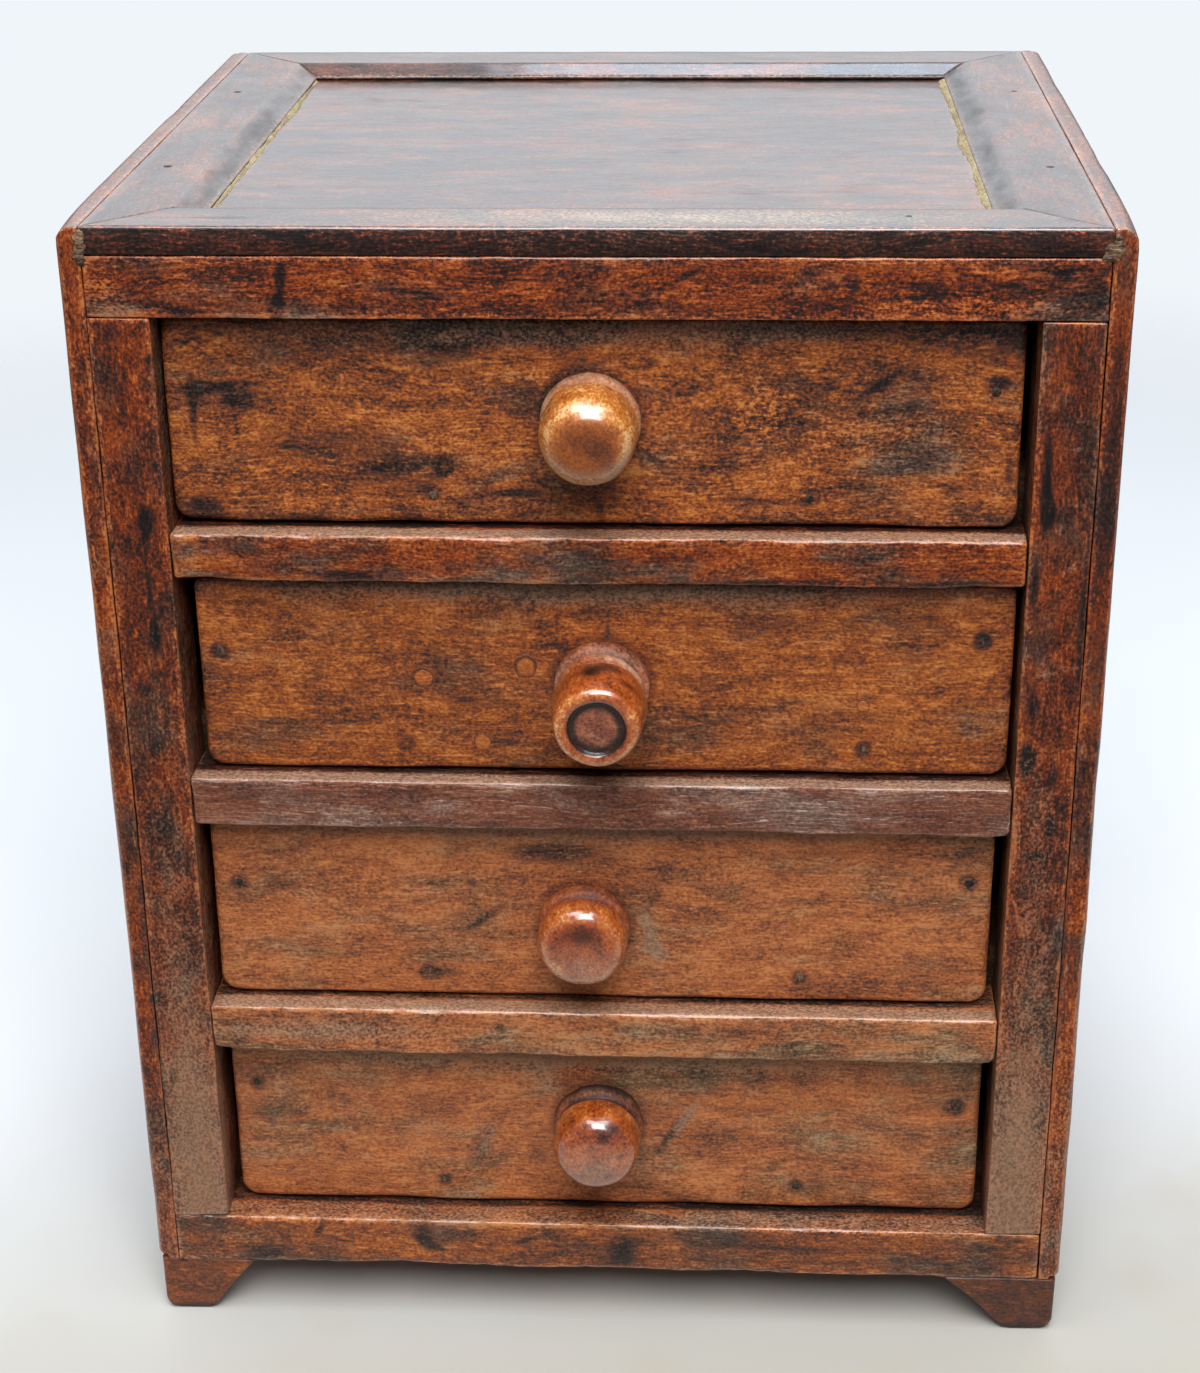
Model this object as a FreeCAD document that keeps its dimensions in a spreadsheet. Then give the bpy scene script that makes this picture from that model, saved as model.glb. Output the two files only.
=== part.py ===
import FreeCAD, Part
import math
import os
import re
import Sketcher

# Small table-top chest of four drawers in varnished hardwood. The frame is
# +X to the viewer's right, +Y to the back and +Z up, with the origin on the
# floor below the middle of the whole chest, knobs included.

# Driving sizes in millimetres. Drawers and dividers count from the top.
SIZES = {
    # Case
    "case_width": "250",
    "case_depth": "220",
    "side_thickness": "6",
    "side_edge_round": "2.5",
    "back_thickness": "5",
    "bottom_thickness": "6",
    # Face frame
    "face_depth": "20",
    "bottom_rail_height": "15",
    "top_rail_height": "15",
    "stile_width": "15",
    "opening_height": "54",
    "divider_height_1": "12.5",
    "divider_height_2": "13.5",
    "divider_height_3": "13.8",
    "tenon_thickness": "6",
    "tenon_length": "5",
    "tenon_shoulder": "2.5",
    # Framed top
    "top_thickness": "7",
    "top_edge_round": "1.5",
    "frame_width": "25",
    "bevel_width": "6.5",
    "bevel_drop": "3",
    "panel_thickness": "3",
    "panel_rebate": "8",
    "panel_gap": "0.5",
    # Feet
    "foot_height": "17",
    "foot_step": "1",
    "foot_toe_width": "14",
    "foot_head_left": "26.5",
    "foot_head_right": "31",
    "foot_head_depth": "28",
    "foot_toe_depth": "14",
    "foot_round": "4",
    # Drawer runners
    "ledge_thickness": "9",
    "ledge_overlap": "8.5",
    "guide_reach": "3.7",
    "guide_height": "10",
    # Drawers
    "full_setback": "10",
    "front_thickness": "8.5",
    "front_side_gap": "2.5",
    "front_bottom_gap": "0.8",
    "front_top_gap": "1.7",
    "front_corner_round": "4.5",
    "front_edge_bevel": "1.2",
    "box_side_gap": "0.8",
    "box_side_thickness": "8",
    "box_back_thickness": "6",
    "box_bottom_thickness": "5",
    "box_bottom_lift": "5",
    "box_height": "46",
    "run_gap": "0.3",
    # How far each drawer could still be pushed in, and how far its front is off centre
    "push_room_1": "3",
    "push_room_2": "4",
    "push_room_3": "3",
    "push_room_4": "1",
    "front_shift_1": "-0.8",
    "front_shift_2": "1.2",
    "front_shift_3": "-0.4",
    "front_shift_4": "0",
    # Turned knobs
    "knob_tenon_radius": "4",
    "knob_collar_radius": "12.2",
    "knob_collar_length": "4",
    "knob_neck_depth": "1.4",
    "knob_neck_length": "1.2",
    "knob_bead_depth": "0.6",
    "knob_bead_length": "4.5",
    "knob_head_radius": "11.8",
    "knob_nose": "6",
    "knob_recess_radius": "7.3",
    "knob_recess_depth": "1.5",
    "knob_recess_rim": "2.5",
    "knob_length_1": "21",
    "knob_length_2": "26.5",
    "knob_length_3": "15",
    "knob_length_4": "18.5",
    "knob_offset_1": "-1",
    "knob_offset_2": "1",
    "knob_offset_3": "-4.5",
    "knob_offset_4": "-1.5",
    "knob_height_1": "26.5",
    "knob_height_2": "24",
    "knob_height_3": "22",
    "knob_height_4": "27",
    # Cut iron nails
    "nail_head_radius": "1.5",
    "nail_head_thickness": "0.8",
    "nail_shank": "1.4",
    "nail_length": "20",
    "end_nail_inset": "4.5",
    "end_nail_left_1": "34",
    "end_nail_left_2": "32",
    "end_nail_left_3": "33",
    "end_nail_left_4": "37.5",
    "end_nail_right_1": "34",
    "end_nail_right_2": "37",
    "end_nail_right_3": "36",
    "end_nail_right_4": "34",
    "bottom_nail_left_1": "39.5",
    "bottom_nail_left_2": "49",
    "bottom_nail_left_3": "46",
    "bottom_nail_left_4": "44.5",
    "bottom_nail_right_1": "51.5",
    "bottom_nail_right_2": "66.5",
    "bottom_nail_right_3": "52",
    "bottom_nail_right_4": "52.5",
    "back_nail_low": "14",
    "back_nail_high": "36",
    "top_nail_side_inset": "8",
    "top_nail_front": "62",
    "top_nail_back": "157",
    "top_nail_rail_inset": "11",
    "top_nail_rail_place": "73",
    "back_panel_nail_margin": "30",
}
DRAWER_COUNT = 4
DRAWERS = range(1, DRAWER_COUNT + 1)
DIVIDERS = range(1, DRAWER_COUNT)
BEADED_KNOB = 2
NAIL_HEAD_SIDES = 6
ON_SIDE = 0.01
NOSE_STEP = 1 - math.sqrt(0.5)

doc = FreeCAD.newDocument("table_chest")
sheet = doc.addObject("Spreadsheet::Sheet", "Sizes")
for row, (size_name, size) in enumerate(SIZES.items(), start=1):
    sheet.set(f"A{row}", size_name)
    sheet.set(f"B{row}", size)
    sheet.setAlias(f"B{row}", size_name)
doc.recompute()
pieces = []

# Places that follow from the sizes, as formulas of the sheet's names
SETBACK = {k: f"(full_setback - push_room_{k})" for k in DRAWERS}
REACHES = "; ".join(f"knob_length_{k} - {SETBACK[k]}" for k in DRAWERS)
FACE = f"((max({REACHES}) - case_depth) / 2)"
BACK = f"({FACE} + case_depth)"
BEHIND_FACE = f"({FACE} + face_depth)"
INSIDE_DEPTH = "(case_depth - face_depth - back_thickness)"
INNER = "(case_width / 2 - side_thickness)"
OPENING = f"({INNER} - stile_width)"
GUIDE = f"({OPENING} - guide_reach)"
BOX_HALF = f"({GUIDE} - box_side_gap)"
BOX_INNER = f"({BOX_HALF} - box_side_thickness)"
DRAWER_LENGTH = "(case_depth - back_thickness - full_setback)"
GUIDE_WIDTH = "(stile_width + guide_reach)"
LEDGE_WIDTH = f"({GUIDE_WIDTH} + ledge_overlap)"
FRONT_HALF = f"({OPENING} - front_side_gap)"
FRONT_HEIGHT = "(opening_height - front_bottom_gap - front_top_gap)"
FLOOR = {DRAWER_COUNT: "(foot_height + bottom_rail_height)"}
for k in reversed(DIVIDERS):
    FLOOR[k] = f"({FLOOR[k + 1]} + opening_height + divider_height_{k})"
UNDER_TOP = f"({FLOOR[1]} + opening_height + top_rail_height)"
TOP = f"({UNDER_TOP} + top_thickness)"
TENON_BACK = "((face_depth - tenon_thickness) / 2)"


def sized(formula):
    """The formula with each sheet name turned into a reference to its cell."""
    def cell(word):
        return f"Sizes.{word[0]}" if word[0] in SIZES else word[0]
    return re.sub(r"[a-z][a-z_0-9]*", cell, formula)


def bind(thing, **formulas):
    """Ties properties to formulas of sheet names."""
    for name, formula in formulas.items():
        thing.setExpression(name, sized(formula))


def place(thing, x, y, z):
    """Ties the position to formulas of sheet names."""
    for axis, formula in zip("xyz", (x, y, z)):
        thing.setExpression(f"Placement.Base.{axis}", sized(formula))


def piece(thing, label):
    """Names a finished sub-part and puts it on the list to be written."""
    thing.Label = label
    pieces.append(thing)


def block(name, x, y, z, length, width, height):
    """Box with its low corner at x, y, z."""
    box = doc.addObject("Part::Box", name)
    place(box, x, y, z)
    bind(box, Length=length, Width=width, Height=height)
    return box


def joined(name, shapes):
    """Several shapes as one solid."""
    fuse = doc.addObject("Part::MultiFuse", name)
    fuse.Shapes = shapes
    fuse.Refine = True
    return fuse


def without(name, base, tools):
    """The base with the tools cut out of it."""
    cut = doc.addObject("Part::Cut", name)
    cut.Base = base
    cut.Tool = joined(f"{name}_tools", tools)
    cut.Refine = True
    return cut


def sketch_on(owner, role):
    """New sketch on one of the body's own origin planes."""
    sketch = owner.newObject("Sketcher::SketchObject", f"{owner.Name}_sketch")
    plane = next(feature for feature in owner.Origin.OriginFeatures if feature.Role == role)
    sketch.AttachmentSupport = (plane, "")
    sketch.MapMode = "FlatFace"
    return sketch


def tie(sketch, kind, geometry, point, name, formula):
    """Dimension from the sketch's origin to a point, tied to a formula."""
    index = sketch.addConstraint(Sketcher.Constraint(kind, -1, 1, geometry, point, 0.0))
    sketch.renameConstraint(index, name)
    sketch.setExpression(f"Constraints.{name}", sized(formula))


def outline(owner, role, *loops):
    """Sketch of closed straight-edged loops, each a list of corner formulas."""
    sketch = sketch_on(owner, role)
    first = 0
    for corners in loops:
        count = len(corners)
        turn = 2 * math.pi / count
        start = [FreeCAD.Vector(math.cos(turn * i), math.sin(turn * i), 0) for i in range(count)]
        for i in range(count):
            sketch.addGeometry(Part.LineSegment(start[i], start[(i + 1) % count]))
        for i in range(count):
            following = first + (i + 1) % count
            sketch.addConstraint(Sketcher.Constraint("Coincident", first + i, 2, following, 1))
        for i, (across, up) in enumerate(corners):
            tie(sketch, "DistanceX", first + i, 1, f"across_{first + i}", across)
            tie(sketch, "DistanceY", first + i, 1, f"up_{first + i}", up)
        first += count
    return sketch


def circle(owner, role, across, up, radius):
    """Sketch of one circle."""
    sketch = sketch_on(owner, role)
    sketch.addGeometry(Part.Circle(FreeCAD.Vector(0, 0, 0), FreeCAD.Vector(0, 0, 1), 1))
    tie(sketch, "DistanceX", 0, 3, "across", across)
    tie(sketch, "DistanceY", 0, 3, "up", up)
    index = sketch.addConstraint(Sketcher.Constraint("Radius", 0, 1.0))
    sketch.renameConstraint(index, "radius")
    sketch.setExpression("Constraints.radius", sized(radius))
    return sketch


def pad(owner, sketch, length, reverse=False):
    """Solid of the sketch pushed out by a length."""
    feature = owner.newObject("PartDesign::Pad", f"{owner.Name}_pad")
    feature.Profile = sketch
    feature.Reversed = reverse
    bind(feature, Length=length)
    doc.recompute()


def cut_through(owner, sketch, reverse=False):
    """Cuts the sketch right through the body, and makes sure that it did."""
    doc.recompute()
    before = owner.Tip.Shape.Volume
    feature = owner.newObject("PartDesign::Pocket", f"{owner.Name}_cut")
    feature.Profile = sketch
    feature.Type = "ThroughAll"
    feature.Reversed = reverse
    doc.recompute()
    if not feature.Shape.Volume < before:
        raise RuntimeError(f"a cut in {owner.Name} removed nothing")


def on_side(edge, box, side):
    """Whether an edge lies in one side, such as ZMax, of a bounding box."""
    other_end = side[0] + ("Min" if side.endswith("Max") else "Max")
    return abs(getattr(edge.BoundBox, other_end) - getattr(box, side)) < ON_SIDE


def edges_at(owner, places):
    """The body's edges that lie in all sides of any one place, by name."""
    box = owner.Tip.Shape.BoundBox
    edges = enumerate(owner.Tip.Shape.Edges, start=1)
    return [f"Edge{i}" for i, edge in edges
            if any(all(on_side(edge, box, side) for side in sides) for sides in places)]


def round_edges(owner, radius, *places):
    """Rounds the edges at these places."""
    names = edges_at(owner, places)
    base = owner.Tip
    feature = owner.newObject("PartDesign::Fillet", f"{owner.Name}_fillet")
    feature.Base = (base, names)
    bind(feature, Radius=radius)
    doc.recompute()


def bevel_edges(owner, size, *places):
    """Bevels the edges at these places."""
    names = edges_at(owner, places)
    base = owner.Tip
    feature = owner.newObject("PartDesign::Chamfer", f"{owner.Name}_bevel")
    feature.Base = (base, names)
    bind(feature, Size=size)
    doc.recompute()


def new_body(name):
    """Empty body for a sketched piece."""
    return doc.addObject("PartDesign::Body", name)


def make_side(label, hand):
    """Side panel from the feet to the top, with its outer edges eased."""
    body = new_body(label)
    height = f"({TOP} - foot_height)"
    corners = [("0", "0"), ("side_thickness", "0"), ("side_thickness", height), ("0", height)]
    pad(body, outline(body, "XZ_Plane", corners), "case_depth", reverse=True)
    outer = "XMin" if hand < 0 else "XMax"
    round_edges(body, "side_edge_round", (outer, "ZMax"), (outer, "YMin"), (outer, "YMax"))
    place(body, "-case_width / 2" if hand < 0 else INNER, FACE, "foot_height")
    piece(body, label)


def make_case_boards():
    """Back panel and bottom board between the side panels."""
    width = f"(2 * {INNER})"
    back = block("back_board", f"-{INNER}", f"{BACK} - back_thickness", "foot_height",
                 width, "back_thickness", f"{UNDER_TOP} - foot_height")
    piece(back, "back_panel")
    bottom = block("bottom", f"-{INNER}", BEHIND_FACE, "foot_height",
                   width, INSIDE_DEPTH, "bottom_thickness")
    piece(bottom, "bottom_board")


def stile_stub(name, hand, z):
    """Stub tenon on the end of a stile, also the tool for its mortise."""
    width = "(stile_width - 2 * tenon_shoulder)"
    low_x = f"-{INNER} + tenon_shoulder" if hand < 0 else f"{OPENING} + tenon_shoulder"
    return block(name, low_x, f"{FACE} + {TENON_BACK}", z, width, "tenon_thickness", "tenon_length")


def divider_stub(name, hand, k):
    """Stub tenon on the end of a divider, also the tool for its mortise."""
    low_x = f"-{OPENING} - tenon_length" if hand < 0 else OPENING
    low_z = f"{FLOOR[k]} - divider_height_{k} + tenon_shoulder"
    height = f"divider_height_{k} - 2 * tenon_shoulder"
    return block(name, low_x, f"{FACE} + {TENON_BACK}", low_z, "tenon_length", "tenon_thickness", height)


def make_face_frame():
    """Rails between the sides, stiles between the rails, dividers between the stiles."""
    rail_width = f"(2 * {INNER})"
    above_opening = f"({FLOOR[1]} + opening_height)"
    rails = {
        "front_top_rail": (above_opening, "top_rail_height", above_opening),
        "front_bottom_rail": ("foot_height", "bottom_rail_height", f"{FLOOR[DRAWER_COUNT]} - tenon_length"),
    }
    for label, (low, height, stub_low) in rails.items():
        rail = block(f"{label}_stock", f"-{INNER}", FACE, low, rail_width, "face_depth", height)
        mortises = [stile_stub(f"{label}_mortise", hand, stub_low) for hand in (-1, 1)]
        piece(without(f"{label}_cut", rail, mortises), label)
    for label, hand in (("left_stile", -1), ("right_stile", 1)):
        low_x = f"-{INNER}" if hand < 0 else OPENING
        stock = block(f"{label}_stock", low_x, FACE, FLOOR[DRAWER_COUNT],
                      "stile_width", "face_depth", f"{above_opening} - {FLOOR[DRAWER_COUNT]}")
        foot_stub = stile_stub(f"{label}_foot_stub", hand, f"{FLOOR[DRAWER_COUNT]} - tenon_length")
        head_stub = stile_stub(f"{label}_head_stub", hand, above_opening)
        whole = joined(f"{label}_whole", [stock, foot_stub, head_stub])
        mortises = [divider_stub(f"{label}_mortise", hand, k) for k in DIVIDERS]
        piece(without(f"{label}_cut", whole, mortises), label)
    for k in DIVIDERS:
        label = f"divider_{k}"
        stock = block(f"{label}_stock", f"-{OPENING}", FACE, f"{FLOOR[k]} - divider_height_{k}",
                      f"2 * {OPENING}", "face_depth", f"divider_height_{k}")
        stubs = [divider_stub(f"{label}_stub", hand, k) for hand in (-1, 1)]
        piece(joined(f"{label}_whole", [stock] + stubs), label)


def make_top():
    """Mitred frame with a bevelled inner edge, and the loose panel in its rebate."""
    lip = "frame_width - panel_rebate"
    section = [("0", "0"), (lip, "0"), (lip, "panel_thickness"), ("frame_width", "panel_thickness"),
               ("frame_width", "top_thickness - bevel_drop"), ("frame_width - bevel_width", "top_thickness"),
               ("0", "top_thickness")]
    across = f"(2 * {INNER})"
    members = {
        "top_frame_front": (f"-{INNER}", FACE, across, 0),
        "top_frame_right": (INNER, FACE, "case_depth", 90),
        "top_frame_back": (INNER, BACK, across, 180),
        "top_frame_left": (f"-{INNER}", BACK, "case_depth", -90),
    }
    for label, (x, y, length, turn) in members.items():
        body = new_body(label)
        pad(body, outline(body, "YZ_Plane", section), length)
        if label in ("top_frame_front", "top_frame_back"):
            round_edges(body, "top_edge_round", ("YMin", "ZMax"))
        near_end = [("0", "0"), ("frame_width", "frame_width"), ("0", "frame_width")]
        far_end = [(length, "0"), (length, "frame_width"), (f"{length} - frame_width", "frame_width")]
        cut_through(body, outline(body, "XY_Plane", near_end, far_end), reverse=True)
        body.Placement.Rotation = FreeCAD.Rotation(FreeCAD.Vector(0, 0, 1), turn)
        place(body, x, y, UNDER_TOP)
        piece(body, label)
    edge = "(frame_width - panel_rebate + panel_gap)"
    panel = block("panel", f"-{INNER} + {edge}", f"{FACE} + {edge}", UNDER_TOP,
                  f"2 * {INNER} - 2 * {edge}", f"case_depth - 2 * {edge}", "panel_thickness")
    piece(panel, "top_panel")


def make_foot(label, hand, end):
    """Bracket foot, straight outside and sloping in on its two inner sides."""
    body = new_body(label)
    head = "foot_head_left" if hand < 0 else "foot_head_right"
    profile = [("foot_step", "0"), ("foot_step + foot_toe_width", "0"),
               (f"foot_step + {head}", "foot_height"), ("foot_step", "foot_height")]
    slope = [("foot_toe_depth", "0"), ("foot_head_depth", "0"), ("foot_head_depth", "foot_height")]
    inward = "" if hand < 0 else "-1 * "
    rearward = "" if end < 0 else "-1 * "
    profile = [(f"{inward}({x})", z) for x, z in profile]
    slope = [(f"{rearward}({y})", z) for y, z in slope]
    pad(body, outline(body, "XZ_Plane", profile), "foot_head_depth", reverse=end < 0)
    cut_through(body, outline(body, "YZ_Plane", slope), reverse=hand < 0)
    outer = "XMin" if hand < 0 else "XMax"
    round_edges(body, "foot_round", (outer, "ZMin"))
    place(body, f"{hand} * case_width / 2", FACE if end < 0 else BACK, "0")
    piece(body, label)


def make_runner(label, hand, k):
    """Runner nailed inside a side panel: a ledge with a guide along it."""
    body = new_body(label)
    thickness = "(bottom_rail_height - bottom_thickness)" if k == DRAWER_COUNT else "ledge_thickness"
    section = [("0", f"-{thickness}"), (LEDGE_WIDTH, f"-{thickness}"), (LEDGE_WIDTH, "0"),
               (GUIDE_WIDTH, "0"), (GUIDE_WIDTH, "guide_height"), ("0", "guide_height")]
    inward = 1 if hand < 0 else -1
    section = [(f"{inward} * {x}", z) for x, z in section]
    pad(body, outline(body, "XZ_Plane", section), INSIDE_DEPTH, reverse=True)
    place(body, f"{hand} * {INNER}", BEHIND_FACE, FLOOR[k])
    piece(body, label)


def make_kicker(label, hand):
    """Bar under the top that carries the panel and keeps the top drawer level."""
    low_x = f"-{INNER}" if hand < 0 else f"{INNER} - {LEDGE_WIDTH}"
    bar = block(f"{label}_bar", low_x, BEHIND_FACE, f"{UNDER_TOP} - top_rail_height",
                LEDGE_WIDTH, INSIDE_DEPTH, "top_rail_height")
    piece(bar, label)


def make_nail(name, x, y, z, drive):
    """Cut nail with its head flush at x, y, z, driven along a direction."""
    head = doc.addObject("Part::Prism", f"{name}_head")
    head.Polygon = NAIL_HEAD_SIDES
    bind(head, Circumradius="nail_head_radius", Height="nail_head_thickness")
    place(head, "0", "0", "-nail_head_thickness")
    shank = block(f"{name}_shank", "-nail_shank / 2", "-nail_shank / 2", "-nail_length",
                  "nail_shank", "nail_shank", "nail_length - nail_head_thickness")
    nail = joined(name, [head, shank])
    nail.Placement.Rotation = FreeCAD.Rotation(FreeCAD.Vector(0, 0, -1), FreeCAD.Vector(*drive))
    place(nail, x, y, z)
    return nail


def make_nail_group(label, nails):
    """Nails of one assembly as a group of separate solids."""
    group = doc.addObject("Part::Compound", f"{label}_group")
    group.Links = nails
    piece(group, label)


def make_case_nails():
    """Nails down through the top, and through the sides into rails and back."""
    nails = []
    for hand in (-1, 1):
        edge = f"{hand} * ({INNER} - top_nail_side_inset)"
        for along in ("top_nail_front", "top_nail_back"):
            nails.append(make_nail("top_nail", edge, f"{FACE} + {along}", TOP, (0, 0, -1)))
        outside = f"{hand} * case_width / 2"
        rail_middle = f"{FACE} + face_depth / 2"
        for level in ("foot_height + bottom_rail_height / 2", f"{UNDER_TOP} - top_rail_height / 2"):
            nails.append(make_nail("rail_nail", outside, rail_middle, level, (-hand, 0, 0)))
        back_middle = f"{BACK} - back_thickness / 2"
        for level in ("foot_height + back_panel_nail_margin", f"{UNDER_TOP} - back_panel_nail_margin"):
            nails.append(make_nail("back_nail", outside, back_middle, level, (-hand, 0, 0)))
    nails.append(make_nail("top_rail_nail", "top_nail_rail_place", f"{FACE} + top_nail_rail_inset",
                           TOP, (0, 0, -1)))
    make_nail_group("case_nails", nails)


def make_drawer_front(k, label):
    """Drawer front with round lower corners, eased edges and the knob's hole."""
    body = new_body(label)
    corners = [(f"-{FRONT_HALF}", "0"), (FRONT_HALF, "0"),
               (FRONT_HALF, FRONT_HEIGHT), (f"-{FRONT_HALF}", FRONT_HEIGHT)]
    pad(body, outline(body, "XZ_Plane", corners), "front_thickness", reverse=True)
    round_edges(body, "front_corner_round", ("XMin", "ZMin"), ("XMax", "ZMin"))
    bevel_edges(body, "front_edge_bevel", ("YMin",))
    knob_x = f"knob_offset_{k} - front_shift_{k}"
    cut_through(body, circle(body, "XZ_Plane", knob_x, f"knob_height_{k}", "knob_tenon_radius"))
    place(body, f"front_shift_{k}", f"{FACE} + {SETBACK[k]}", f"{FLOOR[k]} + front_bottom_gap")
    piece(body, label)


def make_knob(k, label):
    """Turned knob with a collar, a neck and a round-nosed head, tenoned through the front.

    The nose is turned in two bevels. One knob is longer, with a bead behind the head and a sunk face."""
    body = new_body(label)
    beaded = k == BEADED_KNOB
    neck_radius = "(knob_head_radius - knob_neck_depth)"
    neck_end = "(knob_collar_length + knob_neck_length)"
    profile = [("0", "front_thickness"), ("knob_tenon_radius", "front_thickness"), ("knob_tenon_radius", "0"),
               ("knob_collar_radius", "0"), ("knob_collar_radius", "-knob_collar_length"),
               (neck_radius, "-knob_collar_length"), (neck_radius, f"-{neck_end}")]
    if beaded:
        bead_radius = "knob_head_radius - knob_bead_depth"
        bead_end = f"({neck_end} + knob_bead_length)"
        head_start = f"({bead_end} + knob_neck_length)"
        profile += [(bead_radius, f"-{neck_end}"), (bead_radius, f"-{bead_end}"),
                    (neck_radius, f"-{bead_end}"), (neck_radius, f"-{head_start}")]
    nose = "knob_recess_rim" if beaded else "knob_nose"
    profile += [("knob_head_radius", profile[-1][1]),
                ("knob_head_radius", f"{nose} - knob_length_{k}"),
                (f"knob_head_radius - {NOSE_STEP} * {nose}", f"{NOSE_STEP} * {nose} - knob_length_{k}"),
                (f"knob_head_radius - {nose}", f"-knob_length_{k}")]
    if beaded:
        sunk = f"knob_recess_depth - knob_length_{k}"
        profile += [("knob_recess_radius", f"-knob_length_{k}"), ("knob_recess_radius", sunk), ("0", sunk)]
    else:
        profile += [("0", f"-knob_length_{k}")]
    sketch = outline(body, "XY_Plane", profile)
    turned = body.newObject("PartDesign::Revolution", f"{label}_turned")
    turned.Profile = sketch
    turned.ReferenceAxis = (sketch, ["V_Axis"])
    turned.Angle = 360
    doc.recompute()
    place(body, f"knob_offset_{k}", f"{FACE} + {SETBACK[k]}",
          f"{FLOOR[k]} + front_bottom_gap + knob_height_{k}")
    piece(body, label)


def make_drawer(k):
    """Drawer: front, nailed box, turned knob and the nails."""
    name = f"drawer_{k}"
    make_drawer_front(k, f"{name}_front")
    face = f"({FACE} + {SETBACK[k]})"
    behind = f"({face} + front_thickness)"
    end = f"({face} + {DRAWER_LENGTH})"
    low = f"({FLOOR[k]} + run_gap)"
    for label, low_x in ((f"{name}_left_side", f"-{BOX_HALF}"), (f"{name}_right_side", BOX_INNER)):
        side = block(f"{label}_board", low_x, behind, low,
                     "box_side_thickness", f"{DRAWER_LENGTH} - front_thickness", "box_height")
        piece(side, label)
    back = block(f"{name}_back_board", f"-{BOX_INNER}", f"{end} - box_back_thickness", low,
                 f"2 * {BOX_INNER}", "box_back_thickness", "box_height")
    piece(back, f"{name}_back")
    bottom = block(f"{name}_bottom_board", f"-{BOX_INNER}", behind, f"{low} + box_bottom_lift",
                   f"2 * {BOX_INNER}", f"{DRAWER_LENGTH} - front_thickness - box_back_thickness",
                   "box_bottom_thickness")
    piece(bottom, f"{name}_bottom")
    make_knob(k, f"{name}_knob")
    front_low = f"({FLOOR[k]} + front_bottom_gap)"
    bottom_middle = f"{low} + box_bottom_lift + box_bottom_thickness / 2"
    nails = []
    for side_name, hand in (("left", -1), ("right", 1)):
        side_middle = f"{hand} * ({BOX_HALF} - end_nail_inset)"
        end_level = f"{front_low} + end_nail_{side_name}_{k}"
        nails.append(make_nail("end_nail", side_middle, face, end_level, (0, 1, 0)))
        bottom_place = f"{hand} * bottom_nail_{side_name}_{k}"
        nails.append(make_nail("bottom_nail", bottom_place, face, bottom_middle, (0, 1, 0)))
        outside = f"{hand} * {BOX_HALF}"
        for level in ("back_nail_low", "back_nail_high"):
            nails.append(make_nail("back_nail", outside, f"{end} - box_back_thickness / 2",
                                   f"{low} + {level}", (-hand, 0, 0)))
    make_nail_group(f"{name}_nails", nails)


make_side("left_side", -1)
make_side("right_side", 1)
make_case_boards()
make_face_frame()
make_top()
for end_name, end in (("front", -1), ("back", 1)):
    for side_name, hand in (("left", -1), ("right", 1)):
        make_foot(f"foot_{end_name}_{side_name}", hand, end)
for side_name, hand in (("left", -1), ("right", 1)):
    make_kicker(f"kicker_{side_name}", hand)
    for k in DRAWERS:
        make_runner(f"runner_{side_name}_{k}", hand, k)
for k in DRAWERS:
    make_drawer(k)
make_case_nails()
doc.recompute()

# Nothing is written unless every object and every shape is sound
for thing in doc.Objects:
    if "Invalid" in thing.State or "Error" in thing.State:
        raise RuntimeError(f"{thing.Label} failed to build: {thing.State}")
for thing in pieces:
    if thing.Shape.isNull() or not thing.Shape.isValid():
        raise RuntimeError(f"{thing.Label} has no sound shape")
os.makedirs("parts", exist_ok=True)
for thing in pieces:
    thing.Shape.exportStep(os.path.join("parts", f"{thing.Label}.step"))
print(f"{len(pieces)} sub-parts written")
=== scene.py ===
import math

import bmesh
import bpy
import numpy as np
from mathutils import Matrix, Vector


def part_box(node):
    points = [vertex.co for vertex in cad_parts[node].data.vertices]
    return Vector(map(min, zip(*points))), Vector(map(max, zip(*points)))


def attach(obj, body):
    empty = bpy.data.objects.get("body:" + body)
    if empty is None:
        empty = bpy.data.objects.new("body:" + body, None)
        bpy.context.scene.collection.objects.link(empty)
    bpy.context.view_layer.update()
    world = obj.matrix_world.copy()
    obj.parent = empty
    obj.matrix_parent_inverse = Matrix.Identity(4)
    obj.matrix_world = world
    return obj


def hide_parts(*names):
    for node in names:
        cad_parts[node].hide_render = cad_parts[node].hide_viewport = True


# Small varnished chest of four drawers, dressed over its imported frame. Sizes are in
# millimetres in this script and become metres when a mesh is made.

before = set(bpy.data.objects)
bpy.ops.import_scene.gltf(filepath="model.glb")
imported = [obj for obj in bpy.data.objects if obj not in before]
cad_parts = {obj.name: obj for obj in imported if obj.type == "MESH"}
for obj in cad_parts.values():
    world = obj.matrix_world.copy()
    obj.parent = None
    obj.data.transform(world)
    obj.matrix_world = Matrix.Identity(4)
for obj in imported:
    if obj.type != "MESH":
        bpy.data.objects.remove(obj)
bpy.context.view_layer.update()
MM = 0.001
PHOTO_HEIGHT = 1373
# The two axes of a marked side, and how deep its marks go in
FRONT = (0, 2)
ABOVE = (0, 1)
MARK_DEPTH = 6.0


# Colours

def srgb(red, green, blue):
    """Linear colour of an 8-bit screen colour, with full alpha."""
    parts = [value / 255 for value in (red, green, blue)]
    return tuple(p / 12.92 if p <= 0.04045 else ((p + 0.055) / 1.055) ** 2.4 for p in parts) + (1.0,)


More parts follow.
